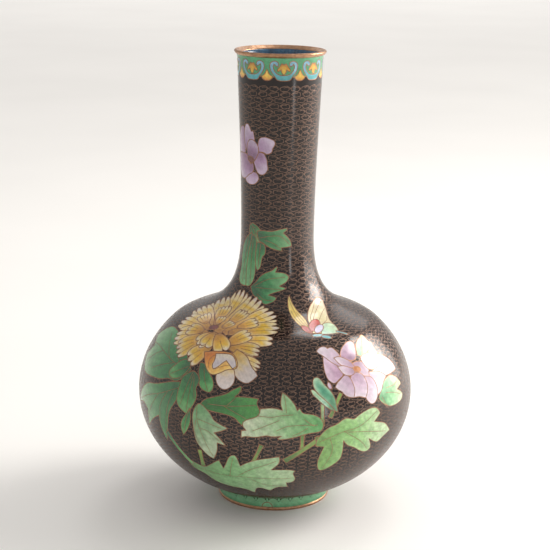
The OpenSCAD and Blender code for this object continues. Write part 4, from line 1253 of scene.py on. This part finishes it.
# ---------------------------------------------------------------- materials
class Nodes:
    """A new material and short ways to fill it."""

    def __init__(self, name):
        self.material = bpy.data.materials.new(name)
        self.material.use_nodes = True
        self.tree = self.material.node_tree
        self.shader = self.tree.nodes["Principled BSDF"]
        where = self.add("ShaderNodeTexCoord")
        self.place = self.add("ShaderNodeMapping", Scale=(1 / MM, 1 / MM, 1 / MM))
        self.join(where.outputs["Object"], self.place.inputs["Vector"])

    def add(self, kind, **values):
        node = self.tree.nodes.new(kind)
        for key, value in values.items():
            if key in node.inputs:
                node.inputs[key].default_value = value
            else:
                setattr(node, key, value)
        return node

    def join(self, a, b):
        self.tree.links.new(a, b)

    def set(self, **values):
        for key, value in values.items():
            self.shader.inputs[key.replace("_", " ")].default_value = value

    def noise(self, size, detail=3, rough=0.5, stretch=(1, 1, 1)):
        """Noise whose grain is so many millimetres."""
        node = self.add("ShaderNodeTexNoise", Scale=1 / size, Detail=detail, Roughness=rough)
        bend = self.add("ShaderNodeMapping", Scale=stretch)
        self.join(self.place.outputs[0], bend.inputs["Vector"])
        self.join(bend.outputs[0], node.inputs["Vector"])
        return node.outputs["Fac"]

    def spread(self, fac, low, high, a=0.35, b=0.65):
        node = self.add("ShaderNodeMapRange")
        for key, value in zip(("From Min", "From Max", "To Min", "To Max"), (a, b, low, high)):
            node.inputs[key].default_value = value
        self.join(fac, node.inputs["Value"])
        return node.outputs[0]

    def mix(self, fac, a, b, blend="MIX"):
        node = self.add("ShaderNodeMix", data_type="RGBA", blend_type=blend)
        for value, socket in ((fac, node.inputs[0]), (a, node.inputs[6]), (b, node.inputs[7])):
            if isinstance(value, bpy.types.NodeSocket):
                self.join(value, socket)
            elif isinstance(value, (int, float)):
                socket.default_value = value
            else:
                socket.default_value = (*value, 1)
        return node.outputs[2]

    def bump(self, height, depth):
        """Relief so many millimetres deep, on top of any before it."""
        node = self.add("ShaderNodeBump", Strength=1.0, Distance=depth * MM)
        self.join(height, node.inputs["Height"])
        socket = self.shader.inputs["Normal"]
        if socket.links:
            self.join(socket.links[0].from_socket, node.inputs["Normal"])
        self.join(node.outputs[0], socket)


def pits(m, spacing, size):
    """Small round pits so many millimetres apart: 0 in a pit and 1 elsewhere."""
    dots = m.add("ShaderNodeTexVoronoi", Scale=1 / spacing, Randomness=1.0)
    m.join(m.place.outputs[0], dots.inputs["Vector"])
    return m.spread(dots.outputs["Distance"], 0, 1, size * 0.5, size)


def enamel(name, pit_size, roughness=0.16, mottle=0.12, coat=0.3, milk=0.08):
    """Fired and polished glass: colour that wanders, tiny pits with painted shade and a faintly wavy polish.
    """
    m = Nodes(name)
    tint = m.add("ShaderNodeAttribute", attribute_name="Tint")
    cloud = m.spread(m.noise(3.2, 4, 0.6), 0, 1)
    grain = m.spread(m.noise(0.5, 3, 0.7), 0, 1)
    dark = m.mix(1.0, tint.outputs["Color"], (1 - 2.2 * mottle,) * 3, "MULTIPLY")
    colour = m.mix(cloud, tint.outputs["Color"], dark)
    light = m.mix(milk, colour, (0.92, 0.93, 0.88))
    colour = m.mix(grain, colour, light)
    pit = pits(m, 1.9, pit_size)
    # painted shade: each pit is coloured near black, as if in shadow
    colour = m.mix(pit, (0.05, 0.035, 0.025), colour)
    m.join(colour, m.shader.inputs["Base Color"])
    m.join(m.spread(m.noise(6, 3), roughness * 0.8, roughness * 1.5), m.shader.inputs["Roughness"])
    m.set(IOR=1.5, Coat_Weight=coat, Coat_Roughness=0.08)
    m.bump(m.noise(9, 2, 0.4), 0.05)
    m.bump(pit, 0.03)
    return m.material


def copper(name, colour, worn, roughness=0.32, patina=0.5):
    """Drawn and gilt copper with darker patina in blotches and fine polishing marks round the vase."""
    m = Nodes(name)
    blotch = m.spread(m.noise(2.6, 4, 0.65), 0, 1, 0.4, 0.62)
    base = m.mix(blotch, rgb(colour), rgb(worn))
    grain = m.noise(0.35, 2, 0.6, (0.3, 0.3, 6))
    base = m.mix(m.spread(grain, 0, 0.35), base, (0.9, 0.62, 0.44))
    m.join(base, m.shader.inputs["Base Color"])
    m.join(m.spread(blotch, roughness, roughness + 0.2 * patina, 0, 1), m.shader.inputs["Roughness"])
    m.set(Metallic=1.0)
    m.bump(grain, 0.01)
    return m.material


def lining_glass(name, light, dark):
    """Counter enamel: thin, streaked and a little uneven."""
    m = Nodes(name)
    streak = m.spread(m.noise(5, 4, 0.6, (1, 1, 0.35)), 0, 1)
    base = m.mix(streak, rgb(light), rgb(dark))
    fleck = m.spread(m.noise(0.8, 2, 0.7), 0, 0.3, 0.5, 0.75)
    m.join(m.mix(fleck, base, rgb("#8fb0bd")), m.shader.inputs["Base Color"])
    m.set(Roughness=0.24, IOR=1.5, Coat_Weight=0.3)
    m.bump(m.noise(1.6, 3, 0.6), 0.06)
    return m.material


PETAL = enamel("petal_enamel", 0.05, 0.15, 0.1)
FOLIAGE = enamel("leaf_enamel", 0.06, 0.17, 0.16)
BLACK = enamel("ground_enamel", 0.04, 0.14, 0.1, coat=0, milk=0.004)
BORDER = enamel("border_enamel", 0.05, 0.16, 0.12)
MATERIALS = {"enamel": PETAL, "leaf": FOLIAGE, "pale_green": FOLIAGE, "olive": FOLIAGE, "black": BLACK,
             "green": BORDER, "turquoise": BORDER}
WIRE = copper("wire_copper_metal", "#7d4a30", "#5a3424", 0.38)
SCROLL = copper("scroll_copper_metal", "#7e6055", "#5c443c", 0.42)
RIM = copper("gilt_copper_metal", "#a87a55", "#7d5438", 0.32)
BODY = copper("body_copper_metal", "#b3744c", "#7a4a30", 0.36)
LINING = lining_glass("lining_enamel", "#1f5c80", "#123a58")

# ---------------------------------------------------------------- the vase
front = [Cell(VASE, Spot(*motif["spot"]), row, motif["tones"][row[6]], motif["wires"])
         for motif in FRONT for row in motif["cells"]]
body = Field(VASE, VASE.line[0][1], COLLAR_START, ring=False)
body_layout = divide(body, front, FAR_STEP, FRONT_STEP)
lay_cells(body, body_layout, front, "bowl_ground", MATERIALS)
strips = border_wires(body, body_layout, front, None)
for node, some in vein_wires(body, front).items():
    strips.setdefault(node, []).extend(some)
for node, some in strips.items():
    piece(node + "_drawn", *joined(some), WIRE, "wire_copper", [node])

runs = scrolls(VASE, front, SCROLLS_FROM, SCROLLS_TO)
levels = [VASE.across(r[:, 1].mean())[1] for r in runs]
for zone in range(SCROLL_ZONES):
    low, high = (np.percentile(levels, 100 * (zone + k) / SCROLL_ZONES) for k in (0, 1))
    some = [strip(VASE, r, [(-SCROLL_W / 2, 0.02), (SCROLL_W / 2, 0.02), (0, -0.25)])
            for r, z in zip(runs, levels) if low <= z < high or (zone == SCROLL_ZONES - 1 and z == high)]
    piece(f"scroll_wires_{zone + 1}", *joined(some), SCROLL, "wire_copper")

# Collar: cloud heads with a palmette in each, and a pendant between every two
collar_cells = [Band(VASE, NOTCH_Z, "neck_ground", "collar_wires")]
for i in range(HEADS):
    spot = Spot(HEAD_TURN + i * 360 / HEADS, COLLAR_Z, MOUTH_R, 0, 14)
    collar_cells.append(Cell(VASE, spot, [0, -8, 90, 14, 18, HEAD_LINE, 0], "collar_heads", "collar_wires"))
    collar_cells.append(Cell(VASE, spot, [0, -4, 90, 8, 9, PALMETTE_LINE, 0], "collar_palmettes",
                             "collar_wires"))
for i in range(HEADS):
    spot = Spot(HEAD_TURN + (i + 0.5) * 360 / HEADS, COLLAR_Z, MOUTH_R, 0, 14)
    collar_cells.append(Cell(VASE, spot, [0, -8, 90, 8, 8, PENDANT_LINE, 0], "collar_pendants",
                             "collar_wires"))
collar = Field(VASE, COLLAR_START, VASE.line[-1][1], ring=True)
collar_layout = divide(collar, collar_cells, FAR_STEP, COLLAR_STEP)
lay_cells(collar, collar_layout, collar_cells, "collar_ground", MATERIALS)
collar_strips = border_wires(collar, collar_layout, collar_cells, "collar_wires")
piece("collar_wires_drawn", *joined(collar_strips["collar_wires"]), WIRE, "wire_copper", ["collar_wires"])

# Foot band: a row of upright scales, meant to lie under a lower row half a step round. As divided here the
# lower row's cells take the whole band, so the upper row and the ground stay as the CAD made them.
def scale_line(y):
    """A scale that stands on the foot's edge, its round top centred at height y."""
    a = np.linspace(0, math.pi, 13)
    top = [[LAPPET_R * math.cos(k), y + LAPPET_R * math.sin(k)] for k in a]
    return [[-LAPPET_R, 0.05], [LAPPET_R, 0.05], *top]


foot_cells = []
for row, (node, y, shift) in enumerate([("foot_lappets_upper", 2.0, 0), ("foot_lappets_lower", 0, 0.5)]):
    for i in range(LAPPETS):
        spot = Spot((i + shift) * 360 / LAPPETS, FOOT_EDGE, FOOT_R, 0, 8)
        foot_cells.append(Cell(FOOT, spot, [0, y - 1, 90, LAPPET_R, 7, scale_line(y), 0], node, "foot_wires"))
foot = Field(FOOT, FOOT_EDGE, FOOT_LINE[-1][1], ring=True)
foot_layout = divide(foot, foot_cells, FAR_STEP, FOOT_STEP)
lay_cells(foot, foot_layout, foot_cells, "foot_ground", MATERIALS)
foot_strips = border_wires(foot, foot_layout, foot_cells, "foot_wires")
piece("foot_wires_drawn", *joined(foot_strips["foot_wires"]), WIRE, "wire_copper", ["foot_wires"])

# Copper edges and the linings that show at the mouth
def offset_line(line, out, depth):
    return [[r - depth * a, z - depth * b] for (r, z), (a, b) in zip(line, out)]


inner = offset_line(VASE.line, VASE.out, ENAMEL_T + COPPER_T + LINING_T)
lip, inner_lip = VASE.line[-1], inner[-1]
rim_outer = through([lip, [RIM_R - 0.75, HEIGHT - 2.3], [RIM_R, HEIGHT - 1.05], [RIM_R - 0.4, HEIGHT - 0.22],
                     [RIM_R - 1.1, HEIGHT], [RIM_R - 2.3, HEIGHT - 0.7], [inner_lip[0] + 0.35, HEIGHT - 1.8],
                     inner_lip], 6)
verts, faces = revolved(rim_outer)
piece("rim_bead", verts, [f[::-1] for f in faces], RIM, "gilt_copper", ["rim_ring"], smooth=True)
in_r = FOOT_R - FOOT_T
base_z = float(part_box("foot_ring")[1].z / MM)
foot_outer = [[in_r, base_z], [in_r, 0.35], [in_r + 0.1, 0.1], [in_r + 0.35, 0], [FOOT_R - 0.35, 0],
              [FOOT_R - 0.05, 0.2], [FOOT_R + 0.35, 0.8], [FOOT_R + 0.45, 1.3], [FOOT_R + 0.3, 1.9],
              [FOOT_R, FOOT_EDGE], [FOOT_R - ENAMEL_T, FOOT_EDGE], [FOOT_R - ENAMEL_T, base_z]]
verts, faces = revolved(foot_outer)
piece("foot_bead", verts, faces, RIM, "gilt_copper", ["foot_ring"], smooth=False)

neck_from = int(np.argmin(np.abs(VASE.line[:, 1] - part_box("neck_lining")[0].z / MM)))
copper_inside = offset_line(VASE.line, VASE.out, ENAMEL_T + COPPER_T)
lining_line = inner[neck_from:] + copper_inside[neck_from:][::-1]
verts, faces = revolved(lining_line)
piece("neck_lining_glass", verts, faces, LINING, "blue_enamel", ["neck_lining"], smooth=True)

# CAD nodes that keep their own shape get their metal or glass, apart from two in the foot band
for node, material in (("lower_bowl", BODY), ("upper_bowl", BODY), ("neck_tube", BODY),
                       ("bowl_lining", LINING), ("base_enamel", LINING)):
    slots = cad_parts[node].data.materials
    slots.clear()
    slots.append(material)

# ---------------------------------------------------------------- floor, light and camera
def plain(name, colour, roughness):
    m = Nodes(name)
    m.join(m.mix(m.spread(m.noise(400, 2), 0, 1), rgb(colour), rgb(colour) * 0.97),
           m.shader.inputs["Base Color"])
    m.set(Roughness=roughness)
    return m.material


bpy.ops.mesh.primitive_circle_add(vertices=128, radius=9, fill_type="NGON", location=(0, 2, 0))
floor = bpy.context.object
floor.name = "floor"
floor.data.materials.append(plain("floor_paper", "#fbf8f4", 0.8))

world = bpy.data.worlds.new("studio")
bpy.context.scene.world = world
world.use_nodes = True
world.node_tree.nodes["Background"].inputs["Color"].default_value = (1.0, 0.985, 0.965, 1)
world.node_tree.nodes["Background"].inputs["Strength"].default_value = 0.62


def soft_light(name, place, size, power, colour=(1, 1, 1), aim=(0, 0, 0.15)):
    data = bpy.data.lights.new(name, "AREA")
    data.shape, data.size, data.size_y = "RECTANGLE", size[0], size[1]
    data.energy, data.color = power, colour
    o = bpy.data.objects.new(name, data)
    bpy.context.scene.collection.objects.link(o)
    o.location = place
    o.rotation_euler = (Vector(aim) - Vector(place)).to_track_quat("-Z", "Y").to_euler()
    return o


soft_light("window_right", (2.5, 0.9, 0.85), (2.4, 1.7), 46, (1, 0.98, 0.95))
soft_light("near_right", (0.95, 0.35, 0.7), (0.5, 0.6), 9, (1, 0.98, 0.95))
soft_light("window_front", (0.77, -0.92, 0.2), (0.1, 0.45), 0.7)
soft_light("top", (0.5, 0.9, 1.8), (0.5, 0.5), 4)
soft_light("back_wall", (0.6, 5.5, 3), (5, 3), 55, aim=(0.6, 5, 0))

# The camera's place in metres, its tilt in degrees and its lens in millimetres
CAMERA_PLACE, PITCH, ROLL, LENS, SENSOR = (0, -1.061, 0.417), 13.89, 0.94, 104.7, 36
camera_data = bpy.data.cameras.new("camera")
camera = bpy.data.objects.new("camera", camera_data)
bpy.context.scene.collection.objects.link(camera)
bpy.context.scene.camera = camera
camera.location = CAMERA_PLACE
look = Matrix.Rotation(math.radians(90 - PITCH), 4, "X") @ Matrix.Rotation(math.radians(ROLL), 4, "Z")
camera.rotation_euler = look.to_euler()
camera_data.lens = LENS
camera_data.sensor_width = SENSOR
camera_data.shift_x, camera_data.shift_y = -0.0031, 0.0049
camera_data.clip_start = 0.01

bpy.context.scene.view_settings.view_transform = "Standard"
